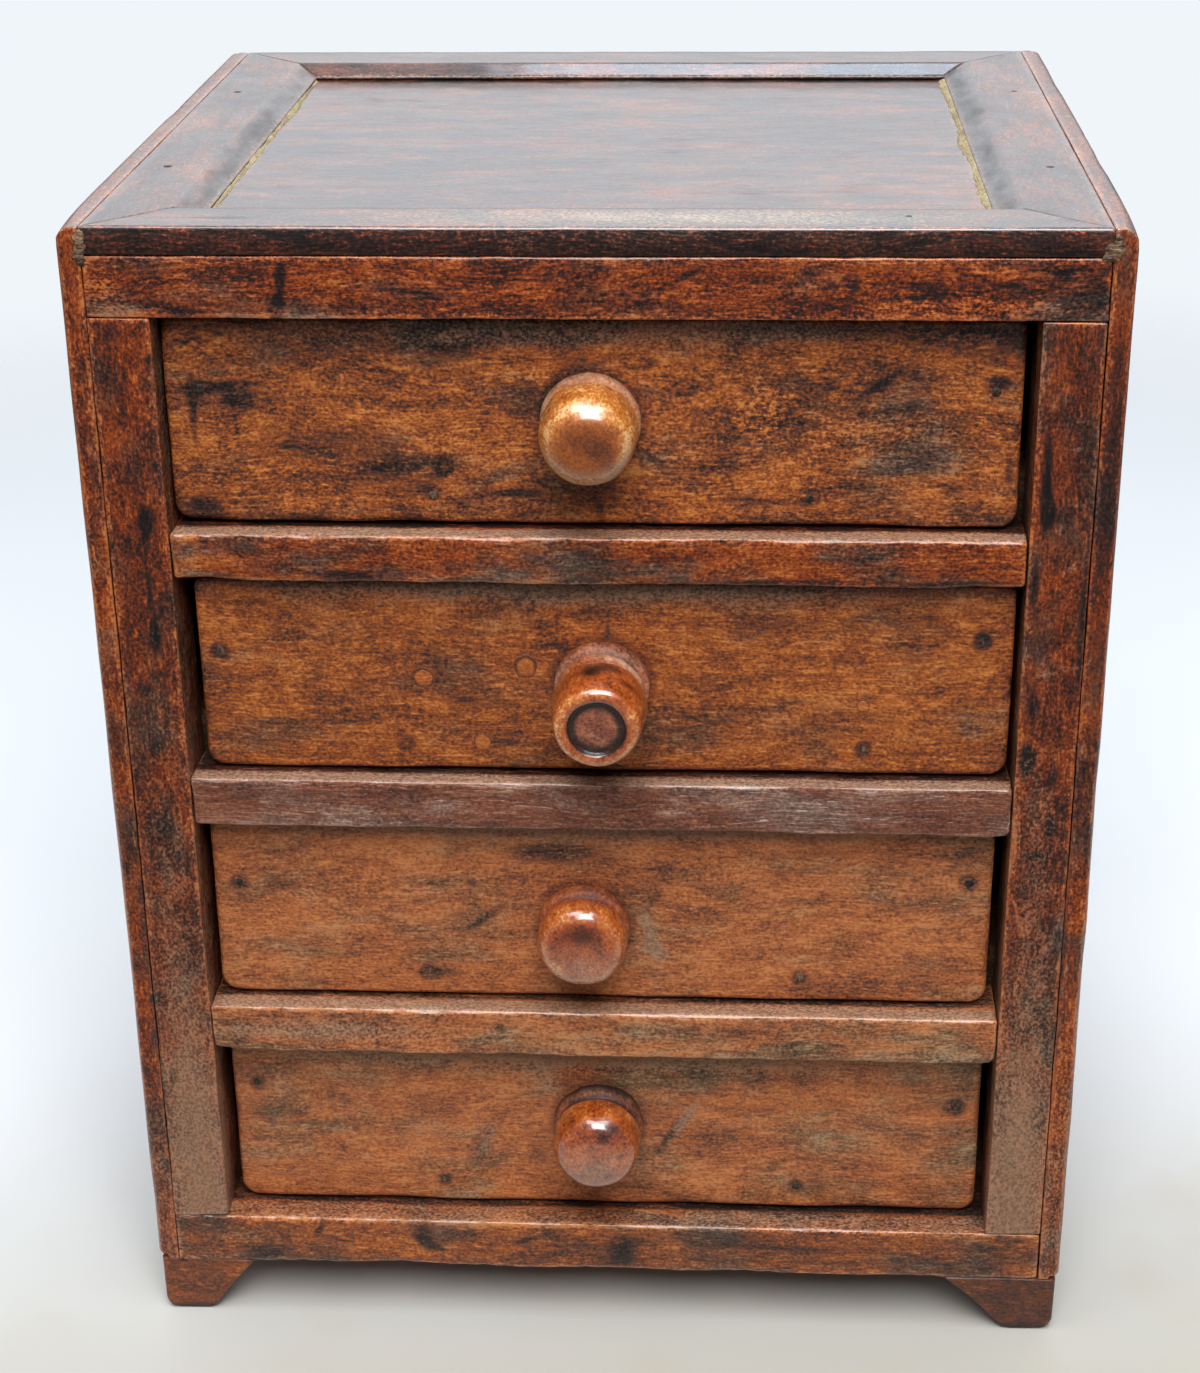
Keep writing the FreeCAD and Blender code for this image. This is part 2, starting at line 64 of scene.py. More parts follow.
# Tones of each kind of wood from ink-black stains to bare, rubbed wood
RED = ((26, 20, 19), (60, 34, 28), (102, 44, 24), (136, 60, 24), (160, 80, 33), (190, 112, 54))
MAROON = ((30, 18, 14), (64, 34, 24), (92, 48, 32), (112, 60, 40), (128, 76, 54), (150, 100, 76))
BROWN = ((34, 24, 21), (72, 45, 35), (112, 61, 38), (135, 71, 40), (154, 84, 46), (190, 116, 64))
DARK = ((14, 9, 8), (28, 16, 14), (52, 30, 26), (74, 44, 36), (98, 62, 48), (140, 96, 66))
ORANGE = ((28, 22, 20), (72, 48, 40), (112, 60, 38), (146, 76, 36), (172, 96, 44), (200, 126, 64))
WARM = ((34, 26, 22), (88, 58, 45), (124, 72, 50), (155, 88, 53), (176, 102, 58), (198, 126, 76))
GREY = ((22, 17, 15), (40, 30, 26), (58, 44, 37), (74, 56, 47), (92, 71, 59), (128, 102, 84))
DUSKY = ((32, 25, 20), (60, 45, 34), (86, 64, 47), (108, 81, 59), (130, 99, 72), (166, 134, 102))
HAZY = ((38, 29, 27), (70, 51, 45), (98, 72, 62), (118, 89, 76), (138, 108, 94), (178, 148, 130))
KNOB = ((38, 16, 6), (88, 40, 10), (136, 66, 15), (166, 90, 28), (196, 120, 50), (232, 180, 118))
RUSSET = ((38, 16, 8), (94, 38, 12), (144, 62, 18), (174, 84, 28), (200, 116, 52), (232, 180, 118))
KHAKI = ((60, 52, 38), (92, 80, 56), (122, 108, 76), (146, 132, 96), (166, 152, 114), (186, 174, 138))
RAW = ((46, 34, 26), (86, 62, 44), (118, 88, 62), (142, 108, 76), (164, 128, 92), (204, 170, 130))
IRON = ((18, 15, 14), (34, 28, 25), (50, 41, 36), (68, 54, 46), (92, 72, 58), (140, 112, 88))
DUST = srgb(146, 112, 88)
TOP_DUST = srgb(176, 156, 132)
KNOB_HAZE = srgb(192, 164, 140)
FLOOR_FAR = srgb(230, 232, 234)
# Floor colour of the painted shade towards the front and the right
FLOOR_SHADED = srgb(174, 168, 154)
FLOOR_DIRT = srgb(186, 174, 152)
FLOOR_EDGE = srgb(120, 110, 100)
SKY_LIGHT = srgb(244, 249, 255)
SKY_SEEN = srgb(240, 245, 250)


# Small places and noise

def ends(node):
    """Lowest and highest corner of a CAD node in millimetres."""
    low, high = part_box(node)
    return np.array(low) / MM, np.array(high) / MM


def ripple(points, wavelength, seed, waves=8):
    """Smooth noise of about -1 to 1: plane waves with seeded directions and phases."""
    rng = np.random.default_rng(seed)
    total = np.zeros(len(points))
    for _ in range(waves):
        direction = rng.normal(size=3)
        direction /= np.linalg.norm(direction)
        length = wavelength * rng.uniform(0.6, 1.7)
        total += np.sin(2 * math.pi * (points @ direction / length + rng.uniform()))
    return total / math.sqrt(waves)


def skin(points, plane):
    """How near each point is to the marked side, the front or the top, from 0 to 1."""
    depth = points[:, 1] - points[:, 1].min() if plane == FRONT else points[:, 2].max() - points[:, 2]
    return np.exp(-(depth / MARK_DEPTH) ** 2)


def strokes(points, marks, plane=FRONT):
    """Sum of soft oblong marks, each (across, up, half length, half height, slant, strength)."""
    total = np.zeros(len(points))
    for x, z, half_length, half_height, slant, strength in marks:
        across = points[:, plane[0]] - x
        up = points[:, plane[1]] - z
        turn = math.radians(slant)
        along = across * math.cos(turn) + up * math.sin(turn)
        off = up * math.cos(turn) - across * math.sin(turn)
        total += strength * np.exp(-(along / half_length) ** 2 - (off / half_height) ** 2)
    return total * skin(points, plane)


def rings(points, marks, plane=FRONT):
    """Sum of soft round marks, each (across, up, radius, half width, strength)."""
    total = np.zeros(len(points))
    for x, z, radius, width, strength in marks:
        away = np.hypot(points[:, plane[0]] - x, points[:, plane[1]] - z)
        total += strength * np.exp(-((away - radius) / width) ** 2)
    return total * skin(points, plane)


def mark_layers(points, marks, plane=FRONT):
    """Vertex values of the stains, worn places and dust of one piece, and of the painted shade and light that
    some of its marks stand for.
    """
    layers = {key: strokes(points, values, plane) for key, values in marks.items() if key != "ring"}
    layers["stain"] = layers.get("stain", 0) + rings(points, marks.get("ring", ()), plane)
    return layers


# Node trees

class Tree:
    """Node tree of a material or the world, with short ways to add nodes to it."""

    def __init__(self, owner):
        owner.use_nodes = True
        self.tree = owner.node_tree
        self.tree.nodes.clear()

    def feed(self, socket, value):
        """Links a socket to another one, or gives it a value."""
        if isinstance(value, bpy.types.NodeSocket):
            self.tree.links.new(value, socket)
        else:
            socket.default_value = value

    def add(self, kind, inputs=None, **settings):
        """New node with its settings, and with inputs that are fed by name or number."""
        node = self.tree.nodes.new(kind)
        for key, value in settings.items():
            setattr(node, key, value)
        for key, value in (inputs or {}).items():
            self.feed(node.inputs[key], value)
        return node

    def math(self, operation, first, second=0.0):
        return self.add("ShaderNodeMath", {0: first, 1: second}, operation=operation).outputs[0]

    def blend(self, base, *terms):
        """Base plus weighted terms, each (weight, value, middle of the value)."""
        total = base
        for weight, value, middle in terms:
            centred = self.math("SUBTRACT", value, middle) if middle else value
            inputs = {0: centred, 1: weight, 2: total}
            total = self.add("ShaderNodeMath", inputs, operation="MULTIPLY_ADD").outputs[0]
        return total

    def ramp(self, value, low, high, bottom=0.0, top=1.0):
        """Smooth step of a value from low to high."""
        inputs = {"Value": value, "From Min": low, "From Max": high, "To Min": bottom, "To Max": top}
        return self.add("ShaderNodeMapRange", inputs, interpolation_type="SMOOTHSTEP").outputs["Result"]

    def tones(self, value, palette):
        """Colour of a tone between 0 and 1, from evenly spaced screen colours."""
        node = self.add("ShaderNodeValToRGB", {"Fac": value})
        elements = node.color_ramp.elements
        for index, colour in enumerate(palette):
            place = index / (len(palette) - 1)
            stop = elements[0] if index == 0 else elements[-1] if place == 1 else elements.new(place)
            stop.color = srgb(*colour)
        return node.outputs["Color"]

    def mix(self, factor, first, second):
        return self.add("ShaderNodeMix", {0: factor, 6: first, 7: second}, data_type="RGBA").outputs[2]

    def attribute(self, name):
        return self.add("ShaderNodeAttribute", attribute_name=name).outputs["Fac"]

    def place(self, seed, sway, bend_length=34.0):
        """Object coordinates in millimetres, bent a little so that the grain isn't straight."""
        where = self.add("ShaderNodeTexCoord").outputs["Object"]
        shift = tuple(np.random.default_rng(seed).uniform(-900, 900, 3))
        mapped = self.add("ShaderNodeMapping", {"Vector": where, "Scale": (1 / MM,) * 3, "Location": shift})
        inputs = {"Vector": mapped.outputs[0], "Scale": 1 / bend_length, "Detail": 1.0}
        bend = self.add("ShaderNodeTexNoise", inputs)
        inputs = {0: bend.outputs["Color"], 1: (sway,) * 3, 2: mapped.outputs[0]}
        return self.add("ShaderNodeVectorMath", inputs, operation="MULTIPLY_ADD").outputs[0]

    def noise(self, place, grain, along, across, detail=2.0, rough=0.5):
        """Noise with patches of so many millimetres along and across the grain."""
        scale = [1 / across] * 3
        scale["XYZ".index(grain)] = 1 / along
        mapped = self.add("ShaderNodeMapping", {"Vector": place, "Scale": tuple(scale)})
        inputs = {"Vector": mapped.outputs[0], "Scale": 1.0, "Detail": detail, "Roughness": rough}
        return self.add("ShaderNodeTexNoise", inputs).outputs["Fac"]


class Surface(Tree):
    """Material of one surface, with a principled shader."""

    def __init__(self, name):
        self.material = bpy.data.materials.new(name)
        super().__init__(self.material)
        self.shader = self.add("ShaderNodeBsdfPrincipled")
        self.add("ShaderNodeOutputMaterial", {"Surface": self.shader.outputs["BSDF"]})

    def set(self, values):
        """Feeds the shader's inputs by name."""
        for key, value in values.items():
            self.feed(self.shader.inputs[key], value)

    def bump(self, height, distance):
        """Feeds a height to the shader's normal, one unit being a distance in millimetres."""
        node = self.add("ShaderNodeBump", {"Height": height, "Distance": distance * MM})
        self.set({"Normal": node.outputs["Normal"]})


def old_wood(name, grain, palette, tint, seed, level=0.5, share=0.4, vary=0.5, contrast=1.0, drawn=1.0,
             blotch=0.4, lines=0.4, rubbed=0.8, gloss=0.36, shine=0.3, coat=0.0, coat_index=1.65,
             relief=0.3, film=DUST, gritty=0.4):
    """Old varnished wood: grain, fibres, dark stains and cracks, pale flecks, worn arrises and dust; some of
    the marks that a piece gives it are painted shade and painted light.

    A share of it has the tones of a second palette, the tint, in softer patches where vary is larger.
    Drawn stretches the figure along the grain. Film is the colour of the dust, and gritty its contrast."""
    tree = Surface(name)
    place = tree.place(seed, sway=5.0)
    zone = tree.noise(place, grain, 60, 26, 2)
    figure = tree.noise(place, grain, 28 * drawn, 8.0, 4, 0.6)
    streak = tree.noise(place, grain, 18 * drawn, 1.6, 3, 0.6)
    fibre = tree.noise(place, grain, 2.8 * drawn, 0.7, 2, 0.6)
    mottle = tree.noise(place, grain, 8 * drawn, 5.2, 5, 0.62)
    speck = tree.noise(place, grain, 0.9, 0.7, 2, 0.6)
    hue = tree.noise(place, grain, 24 * drawn, 12, 4, 0.65)
    edge = tree.attribute("edge")

    ink = tree.blend(tree.attribute("stain"), (1.3, mottle, 0.5), (0.4, fibre, 0.5), (0.4, speck, 0.5),
                     (1.2 * blotch, tree.ramp(zone, 0.54, 0.72), 0.0))
    ink = tree.ramp(ink, 0.35, 1.05)
    rub_and_light = tree.blend(tree.attribute("wear_and_light"), (rubbed, edge, 0.0), (1.1, speck, 0.5), (0.7, fibre, 0.5),
                     (0.5, mottle, 0.5))
    rub_and_light = tree.ramp(rub_and_light, 0.3, 0.9)
    tone = tree.blend(level, (0.5 * contrast, zone, 0.5), (0.9 * contrast, figure, 0.5),
                      (0.6 * contrast, streak, 0.5), (0.85 * contrast, fibre, 0.5),
                      (1.2 * contrast, mottle, 0.5), (1.7 * contrast, speck, 0.5), (-0.5, ink, 0.0),
                      (0.32, rub_and_light, 0.0), (-0.4 * lines, tree.ramp(streak, 0.57, 0.72), 0.0),
                      (0.25, tree.ramp(fibre, 0.56, 0.76), 0.0))
    tone = tree.ramp(tone, -0.2, 1.2)
    middle = 0.5 + (0.5 - share) * vary
    tinted = tree.ramp(hue, middle - vary / 2, middle + vary / 2)
    colour = tree.mix(tinted, tree.tones(tone, palette), tree.tones(tone, tint))
    grime_and_light = tree.blend(tree.attribute("dust"), (1.1, speck, 0.5), (0.6, mottle, 0.5))
    grime_and_light = tree.math("MULTIPLY", tree.ramp(grime_and_light, 0.2, 0.9), 0.85)
    grit = tree.ramp(speck, 0.36, 0.64)
    pale, dim = (tuple(part * scale for part in film[:3]) + (1.0,) for scale in (1 + gritty, 1 - gritty))
    tree.set({
        "Base Color": tree.mix(grime_and_light, colour, tree.mix(grit, dim, pale)),
        "Roughness": tree.blend(gloss, (0.5, mottle, 0.5), (0.4, grime_and_light, 0.0), (0.12, rub_and_light, 0.0)),
        "Specular IOR Level": shine,
        "Coat Weight": tree.blend(coat, (-0.5 * coat, ink, 0.0), (0.55, edge, 0.0)),
        "Coat Roughness": 0.12,
        "Coat IOR": coat_index,
    })
    height = tree.blend(0.0, (0.5, fibre, 0.5), (0.8, streak, 0.5), (1.2, mottle, 0.5), (-0.12, ink, 0.0))
    tree.bump(height, relief)
    return tree.material


def turned_wood(name, palette, seed, level):
    """Polished turned wood with soft dark patches, a dull collar and a pale haze of dust; some of the patches
    and haze that a knob gives it are painted shade and painted reflections.
    """
    tree = Surface(name)
    place = tree.place(seed, sway=3.0)
    mottle = tree.noise(place, "Y", 5, 2.6, 4, 0.6)
    speck = tree.noise(place, "Y", 1.2, 0.7, 2, 0.6)
    patch = tree.noise(place, "Y", 9, 9, 1)
    dull = tree.attribute("dull")
    uneven = tree.blend(1.0, (2.2, mottle, 0.5), (1.2, speck, 0.5))
    dark = tree.math("MULTIPLY", tree.attribute("stain"), uneven)
    uneven = tree.blend(1.0, (2.0, mottle, 0.5), (1.6, speck, 0.5))
    haze = tree.ramp(tree.math("MULTIPLY", tree.attribute("dust"), uneven), 0.0, 1.2)
    tone = tree.blend(level, (0.9, mottle, 0.5), (1.1, speck, 0.5), (0.6, patch, 0.5), (-0.5, dark, 0.0),
                      (0.4, tree.attribute("wear_and_light"), 0.0))
    polish = tree.blend(1.0, (-0.8, haze, 0.0), (-0.6, dark, 0.0), (-0.85, dull, 0.0))
    tree.set({
        "Base Color": tree.mix(haze, tree.tones(tone, palette), KNOB_HAZE),
        "Roughness": tree.blend(0.3, (0.4, mottle, 0.5), (0.2, haze, 0.0), (0.35, dull, 0.0)),
        "Coat Weight": tree.ramp(polish, 0.0, 1.0),
        "Coat Roughness": 0.17,
        "Coat IOR": 1.9,
    })
    tree.bump(tree.blend(0.0, (1.0, mottle, 0.5), (0.3, speck, 0.5)), 0.12)
    return tree.material


# Meshes

def stations(low, high, margin, step):
    """Grid lines from low to high: close together in both margins, about a step apart between."""
    margin = min(margin, 0.45 * (high - low))
    near = margin * np.array([0, 0.15, 0.32, 0.52, 0.75])
    count = max(2, round((high - low - 2 * margin) / step) + 1)
    middle = np.linspace(low + margin, high - margin, count)
    return np.concatenate([low + near, middle, (high - near)[::-1]])


def box_grid(low, high, margin, step):
    """Points and four-sided faces of a box's surface, on grid lines that crowd at its edges."""
    lines = [stations(a, b, margin, step) for a, b in zip(low, high)]
    points, quads = [], []
    start = 0
    for axis in range(3):
        u, v = [i for i in range(3) if i != axis]
        for end in (0, -1):
            grid = np.empty((len(lines[u]), len(lines[v]), 3))
            grid[..., axis] = lines[axis][end]
            grid[..., u] = lines[u][:, None]
            grid[..., v] = lines[v][None, :]
            index = start + np.arange(grid[..., 0].size).reshape(grid.shape[:2])
            quad = np.stack([index[:-1, :-1], index[1:, :-1], index[1:, 1:], index[:-1, 1:]], -1)
            faces_out = (end == -1) == (axis != 1)
            quad = quad.reshape(-1, 4)
            quads.append(quad if faces_out else quad[:, ::-1])
            points.append(grid.reshape(-1, 3))
            start += grid[..., 0].size
    points = np.concatenate(points).round(5)
    points, index = np.unique(points, axis=0, return_inverse=True)
    return points, index.reshape(-1)[np.concatenate(quads)]


def tube(rows, columns, start=0):
    """Faces of a closed tube of rows of points, with a face over each end."""
    index = start + np.arange(rows * columns).reshape(rows, columns)
    around = np.roll(index, -1, axis=1)
    quads = np.stack([index[:-1], around[:-1], around[1:], index[1:]], -1).reshape(-1, 4).tolist()
    return quads + [index[0].tolist(), index[-1].tolist()]


def make_piece(name, points, faces, material, slot, body, nodes, crown=None, **attributes):
    """Smooth mesh object from millimetre points, riding on a body in place of CAD nodes.

    A crown is the wood of the faces that look up."""
    mesh = bpy.data.meshes.new(name)
    mesh.from_pydata((points * MM).tolist(), [], [list(face) for face in faces])
    work = bmesh.new()
    work.from_mesh(mesh)
    bmesh.ops.recalc_face_normals(work, faces=work.faces)
    work.to_mesh(mesh)
    work.free()
    mesh.polygons.foreach_set("use_smooth", [True] * len(mesh.polygons))
    for key in ("edge", "stain", "wear_and_light", "dust", "dull"):
        values = np.zeros(len(points)) + attributes.get(key, 0.0)
        layer = mesh.attributes.new(key, "FLOAT", "POINT")
        layer.data.foreach_set("value", values.astype(np.float32))
    mesh.materials.append(material)
    if crown:
        mesh.materials.append(crown)
        for polygon in mesh.polygons:
            polygon.material_index = int(polygon.normal.z > 0.45)
    mesh.update()
    thing = bpy.data.objects.new(name, mesh)
    bpy.context.scene.collection.objects.link(thing)
    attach(thing, body)
    if nodes:
        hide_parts(*nodes)


def edge_closeness(rest, low, high, reach):
    """How near each surface point of a box is to an arris, from 0 to 1."""
    sides = np.minimum(rest - low, high - rest)
    nearest = np.sort(sides, axis=1)[:, 1]
    return np.exp(-(nearest / reach) ** 2)


def board(name, low, high, material, slot, body, seed, step=2.0, ease=0.8, outer=None,
          chips=(), dip=0.2, marks=None, plane=FRONT, soil_and_shade=None, crown=None, crest=None):
    """Board with worn round arrises and a slightly uneven face, kept inside low and high.

    The outer side is (axis, sign, radius): its arrises are rounded more. A chip is (x, y, z, size, depth).
    The soil function gives more marks, dust and painted shade among them, by the places and normals of the
    points, and a crest reshapes the points."""
    low, high = np.array(low, float), np.array(high, float)
    most = max([ease * 1.6] + [outer[2] * 1.3 if outer else 0] + [chip[4] for chip in chips])
    rest, faces = box_grid(low, high, most, step)
    radius = ease * (1 + 0.45 * ripple(rest, 26, seed) + 0.25 * ripple(rest, 7, seed + 1))
    if outer:
        axis, sign, large = outer
        near_side = (rest[:, axis] - (low + high)[axis] / 2) * sign > 0
        radius = np.where(near_side, large * (1 + 0.12 * ripple(rest, 30, seed)), radius)
    for x, y, z, size, depth in chips:
        away = np.linalg.norm((rest - (x, y, z)) / size, axis=1)
        radius = radius + depth * np.exp(-away ** 2)
    radius = np.clip(radius, 0.15, 0.48 * (high - low).min())[:, None]
    core = np.clip(rest, low + radius, high - radius)
    normal = rest - core
    normal /= np.linalg.norm(normal, axis=1)[:, None]
    points = core + normal * radius
    depth = dip * (0.6 + 0.35 * ripple(points, 55, seed + 2) + 0.2 * ripple(points, 13, seed + 3))
    points -= normal * np.clip(depth, 0, None)[:, None]
    if crest:
        points = crest(points)
    layers = mark_layers(points, marks or {}, plane)
    layers["edge"] = edge_closeness(rest, low, high, 1.4)
    if soil_and_shade:
        for key, values in soil_and_shade(points, normal).items():
            layers[key] = layers.get(key, 0) + values
    make_piece(name, points, faces, material, slot, body, [name], crown, **layers)


# How much wider than its solid a front is drawn on the left and on the right
CLOSER_FIT = {1: (1.2, 0.8)}


def drawer_front(k, material, marks, seed):
    """Drawer front with round lower corners and soft arrises; the first fits its opening more closely."""
    node = f"drawer_{k}_front"
    low, high = ends(node)
    wider_left, wider_right = CLOSER_FIT.get(k, (0.0, 0.0))
    low[0] -= wider_left
    high[0] += wider_right
    lower_round, upper_round, ease = 4.5, 2.2, 1.5
    rest, faces = box_grid(low, high, ease * 1.4, 0.9)
    flat = rest[:, [0, 2]]
    corner = np.where(flat[:, 1] < (low + high)[2] / 2, lower_round, upper_round)[:, None]
    core = np.clip(flat, low[[0, 2]] + corner, high[[0, 2]] - corner)
    away = flat - core
    largest = np.abs(away).max(axis=1)
    length = np.linalg.norm(away, axis=1)
    away *= (largest / np.maximum(length, 1e-9))[:, None]
    outward = away / np.maximum(largest, 1e-9)[:, None]
    inset = np.clip(corner[:, 0] - largest, 0, None)
    behind = rest[:, 1] - low[1]
    radius = ease * (1 + 0.35 * ripple(rest, 30, seed))
    a = np.clip(radius - inset, 0, None)
    b = np.clip(radius - behind, 0, None)
    size = np.maximum(np.hypot(a, b), 1e-9)
    rounded = (a > 0) & (b > 0)
    shrink = np.where(rounded, radius / size, 1.0)
    new_inset = np.where(rounded, radius - a * shrink, inset)
    new_behind = np.where(rounded, radius - b * shrink, behind)
    flat = core + away + outward * (inset - new_inset)[:, None]
    dip = 0.25 * np.clip(0.5 + 0.4 * ripple(rest, 60, seed + 2) + 0.15 * ripple(rest, 14, seed + 3), 0, None)
    on_face = np.clip(1 - behind, 0, 1)
    points = np.stack([flat[:, 0], low[1] + new_behind + dip * on_face, flat[:, 1]], axis=1)
    layers = mark_layers(points, marks)
    layers["edge"] = 0.3 * np.exp(-(inset / 1.6) ** 2) * on_face
    # The front darkens towards its rim all round: painted shade next to the gaps, along with dirt on the
    # rounded arrises
    layers["stain"] = layers["stain"] + 0.3 * np.exp(-(inset / 2.0) ** 2)
    make_piece(node, points, faces, material, "drawer_wood", f"drawer_{k}", [node], **layers)


def eased(corners, radius, closed=False, steps=4):
    """Outline through corners, each rounded over about a radius."""
    corners = np.array(corners, float)
    count = len(corners)
    line = []
    for i, corner in enumerate(corners):
        if not closed and i in (0, count - 1):
            line.append(corner)
            continue
        sides = [corners[i - 1] - corner, corners[(i + 1) % count] - corner]
        sizes = [max(np.linalg.norm(side), 1e-6) for side in sides]
        first, last = [corner + side / size * min(radius, 0.4 * size) for side, size in zip(sides, sizes)]
        for t in np.linspace(0, 1, steps):
            line.append((1 - t) ** 2 * first + 2 * t * (1 - t) * corner + t ** 2 * last)
    return np.array(line)


def divided(line, step, closed=False):
    """Outline with points added so that none are further apart than a step."""
    following = np.roll(line, -1, axis=0) if closed else line[1:]
    parts = []
    for a, b in zip(line, following):
        count = max(1, math.ceil(np.linalg.norm(b - a) / step))
        parts.append(a + (b - a) * (np.arange(count) / count)[:, None])
    if not closed:
        parts.append(line[-1:])
    return np.concatenate(parts)


def turned(k, profile, material, marks, seed, segments=96):
    """Turned knob on a drawer's front; the profile lists (radius, reach ahead of the front).

    A mark is (layer, reach, radius, half size, strength), and one that doesn't go all the way round ends
    with its angle and half angle in degrees. One in the middle of the face has a crisp rim."""
    node = f"drawer_{k}_knob"
    low, high = ends(node)
    x, z = (low + high)[0] / 2, (low + high)[2] / 2
    face = ends(f"drawer_{k}_front")[0][1]
    fine = 0.7
    line = divided(eased(profile, fine), fine)
    angles = np.linspace(0, 2 * math.pi, segments, endpoint=False)
    radius = np.repeat(line[:, :1], segments, axis=1)
    reach = np.repeat(line[:, 1:], segments, axis=1)
    angle = np.repeat(angles[None, :], len(line), axis=0)
    shape = np.stack([radius * np.cos(angle), -reach, radius * np.sin(angle)], -1).reshape(-1, 3)
    wobble = 1 - 0.012 * (1 + ripple(shape, 9, seed))
    points = shape * np.stack([wobble, np.ones_like(wobble), wobble], -1) + (x, face, z)
    points[:, 1] = np.maximum(points[:, 1], low[1])
    layers = {"stain": 0, "wear_and_light": 0, "dust": 0}
    for layer, at_reach, at_radius, size, strength, *facing in marks:
        away = ((reach - at_reach) / size) ** 2 + ((radius - at_radius) / size) ** 2
        if at_radius == 0:
            away = away ** 3
        if facing:
            direction, spread = facing
            turn = np.degrees(np.angle(np.exp(1j * (angle - math.radians(direction)))))
            away = away + (turn / spread) ** 2
        layers[layer] = layers[layer] + (strength * np.exp(-away)).reshape(-1)
    layers["dull"] = np.clip(COLLAR_END - reach, 0, 1).reshape(-1)
    faces = tube(len(line), segments)
    make_piece(node, points, faces, material, "knob_wood", f"drawer_{k}", [node], **layers)


def moulding(node, start, run, inward, length, outer_round, material, crown, seed, marks, bevel_stain):
    """Mitred member of the top frame, with a bevelled inner edge over the panel's rebate."""
    low, high = ends(node)
    height = high[2] - low[2]
    width, lip, rebate, bevel, drop = 25.0, 17.0, 3.0, 6.5, 3.0
    corners = [(0, 0), (lip, 0), (lip, rebate), (width, rebate), (width, height - drop),
               (width - bevel, height), (0, height)]
    outline = divided(eased(corners, outer_round, closed=True), 2.0, closed=True)
    inset, level = outline[:, 0], outline[:, 1]
    close, margin, step = (0.0, 0.25, 0.6, 1.1, 1.8), 2.6, 2.5
    span = length - 2 * inset
    places = [0 * span + near for near in close]
    places += [margin + share * (span - 2 * margin) for share in np.linspace(0, 1, round(length / step))]
    places += [span - near for near in close[::-1]]
    rows = [np.stack([inset, level, place, np.minimum(place, span - place)], -1) for place in places]
    grid = np.array(rows).reshape(-1, 4)
    flat = np.array(start) + np.outer(grid[:, 2] + grid[:, 0], run) + np.outer(grid[:, 0], inward)
    points = np.stack([flat[:, 0], flat[:, 1], low[2] + grid[:, 1]], -1)
    upper = np.clip((grid[:, 1] - rebate) / 2, 0, 1)
    uneven = 0.6 + 0.4 * ripple(points, 40, seed) + 0.2 * ripple(points, 11, seed + 1)
    dip = 0.15 * np.clip(uneven, 0.05, None)
    mitre_groove = 0.12 * np.exp(-(grid[:, 3] / 0.4) ** 2)
    points[:, 2] -= upper * (dip + mitre_groove)
    layers = mark_layers(points, marks, ABOVE)
    layers["edge"] = upper * np.exp(-(grid[:, 0] / 1.4) ** 2)
    fade_start, fade = 1.5, 4.0
    on_bevel = np.clip((grid[:, 0] - width + bevel + fade_start) / fade, 0, 1)
    # Darkens and dulls the bevels, most on the side members: partly darker wood, partly painted shade
    # standing in for the dimmer reflection they show
    layers["stain"] = layers["stain"] + bevel_stain * upper * on_bevel
    layers["dust"] = layers.get("dust", 0) + 0.9 * upper * np.exp(-((grid[:, 0] - width) / 0.9) ** 2)
    faces = tube(len(rows), len(outline))
    make_piece(node, points, faces, material, "top_wood", "case", [node], crown, **layers)


def foot(node, hand, end, material, seed):
    """Bracket foot: upright outside, sloping in on its two inner sides, with a round toe."""
    low, high = ends(node)
    toe_width, toe_depth, toe_round = 14.0, 14.0, 4.0
    head_width, head_depth = (high - low)[:2]
    height = high[2] - low[2]
    corner_x = low[0] if hand < 0 else high[0]
    corner_y = low[1] if end < 0 else high[1]
    rows = []
    for up in np.concatenate([np.linspace(0, 4, 9), np.linspace(4.8, height, 16)]):
        share = up / height
        hollow = 0.06 * math.sin(math.pi * share)
        worn = 1.2 * math.exp(-up / 0.8)
        near = toe_round - math.sqrt(toe_round ** 2 - max(0.0, toe_round - up) ** 2)
        far = toe_width + (head_width - toe_width) * (share - hollow) - worn
        deep = toe_depth + (head_depth - toe_depth) * (share - hollow) - worn
        ahead = 0.15 + 0.5 * worn
        ring = eased([(near, ahead), (far, ahead), (far, deep), (near, deep)], 1.3, closed=True, steps=6)
        count = 18
        sides = [np.linspace(a, b, count, endpoint=False) for a, b in zip(ring, np.roll(ring, -1, axis=0))
                 if np.linalg.norm(b - a) > 0]
        ring = np.concatenate([s if np.linalg.norm(s[-1] - s[0]) > 3 else s[:1] for s in sides])
        rows.append(np.column_stack([ring, np.full(len(ring), up)]))
    columns = min(len(row) for row in rows)
    local = np.concatenate([row[np.linspace(0, len(row) - 1, columns).round().astype(int)] for row in rows])
    points = np.stack([corner_x - hand * local[:, 0], corner_y - end * local[:, 1], local[:, 2]], -1)
    middle = points.mean(axis=0)
    points[:, :2] -= (points[:, :2] - middle[:2]) * (0.006 * (1 + ripple(points, 12, seed)))[:, None]
    # Darker at the very bottom; the right-hand feet are darker all over than the left as painted shade, that
    # side lying in shadow
    stain = 0.5 * np.exp(-(local[:, 2] / 1.5) ** 2) + (0.6 if hand > 0 else 0.3)
    make_piece(node, points, tube(len(rows), columns), material, "case_wood", "case", [node], stain=stain)


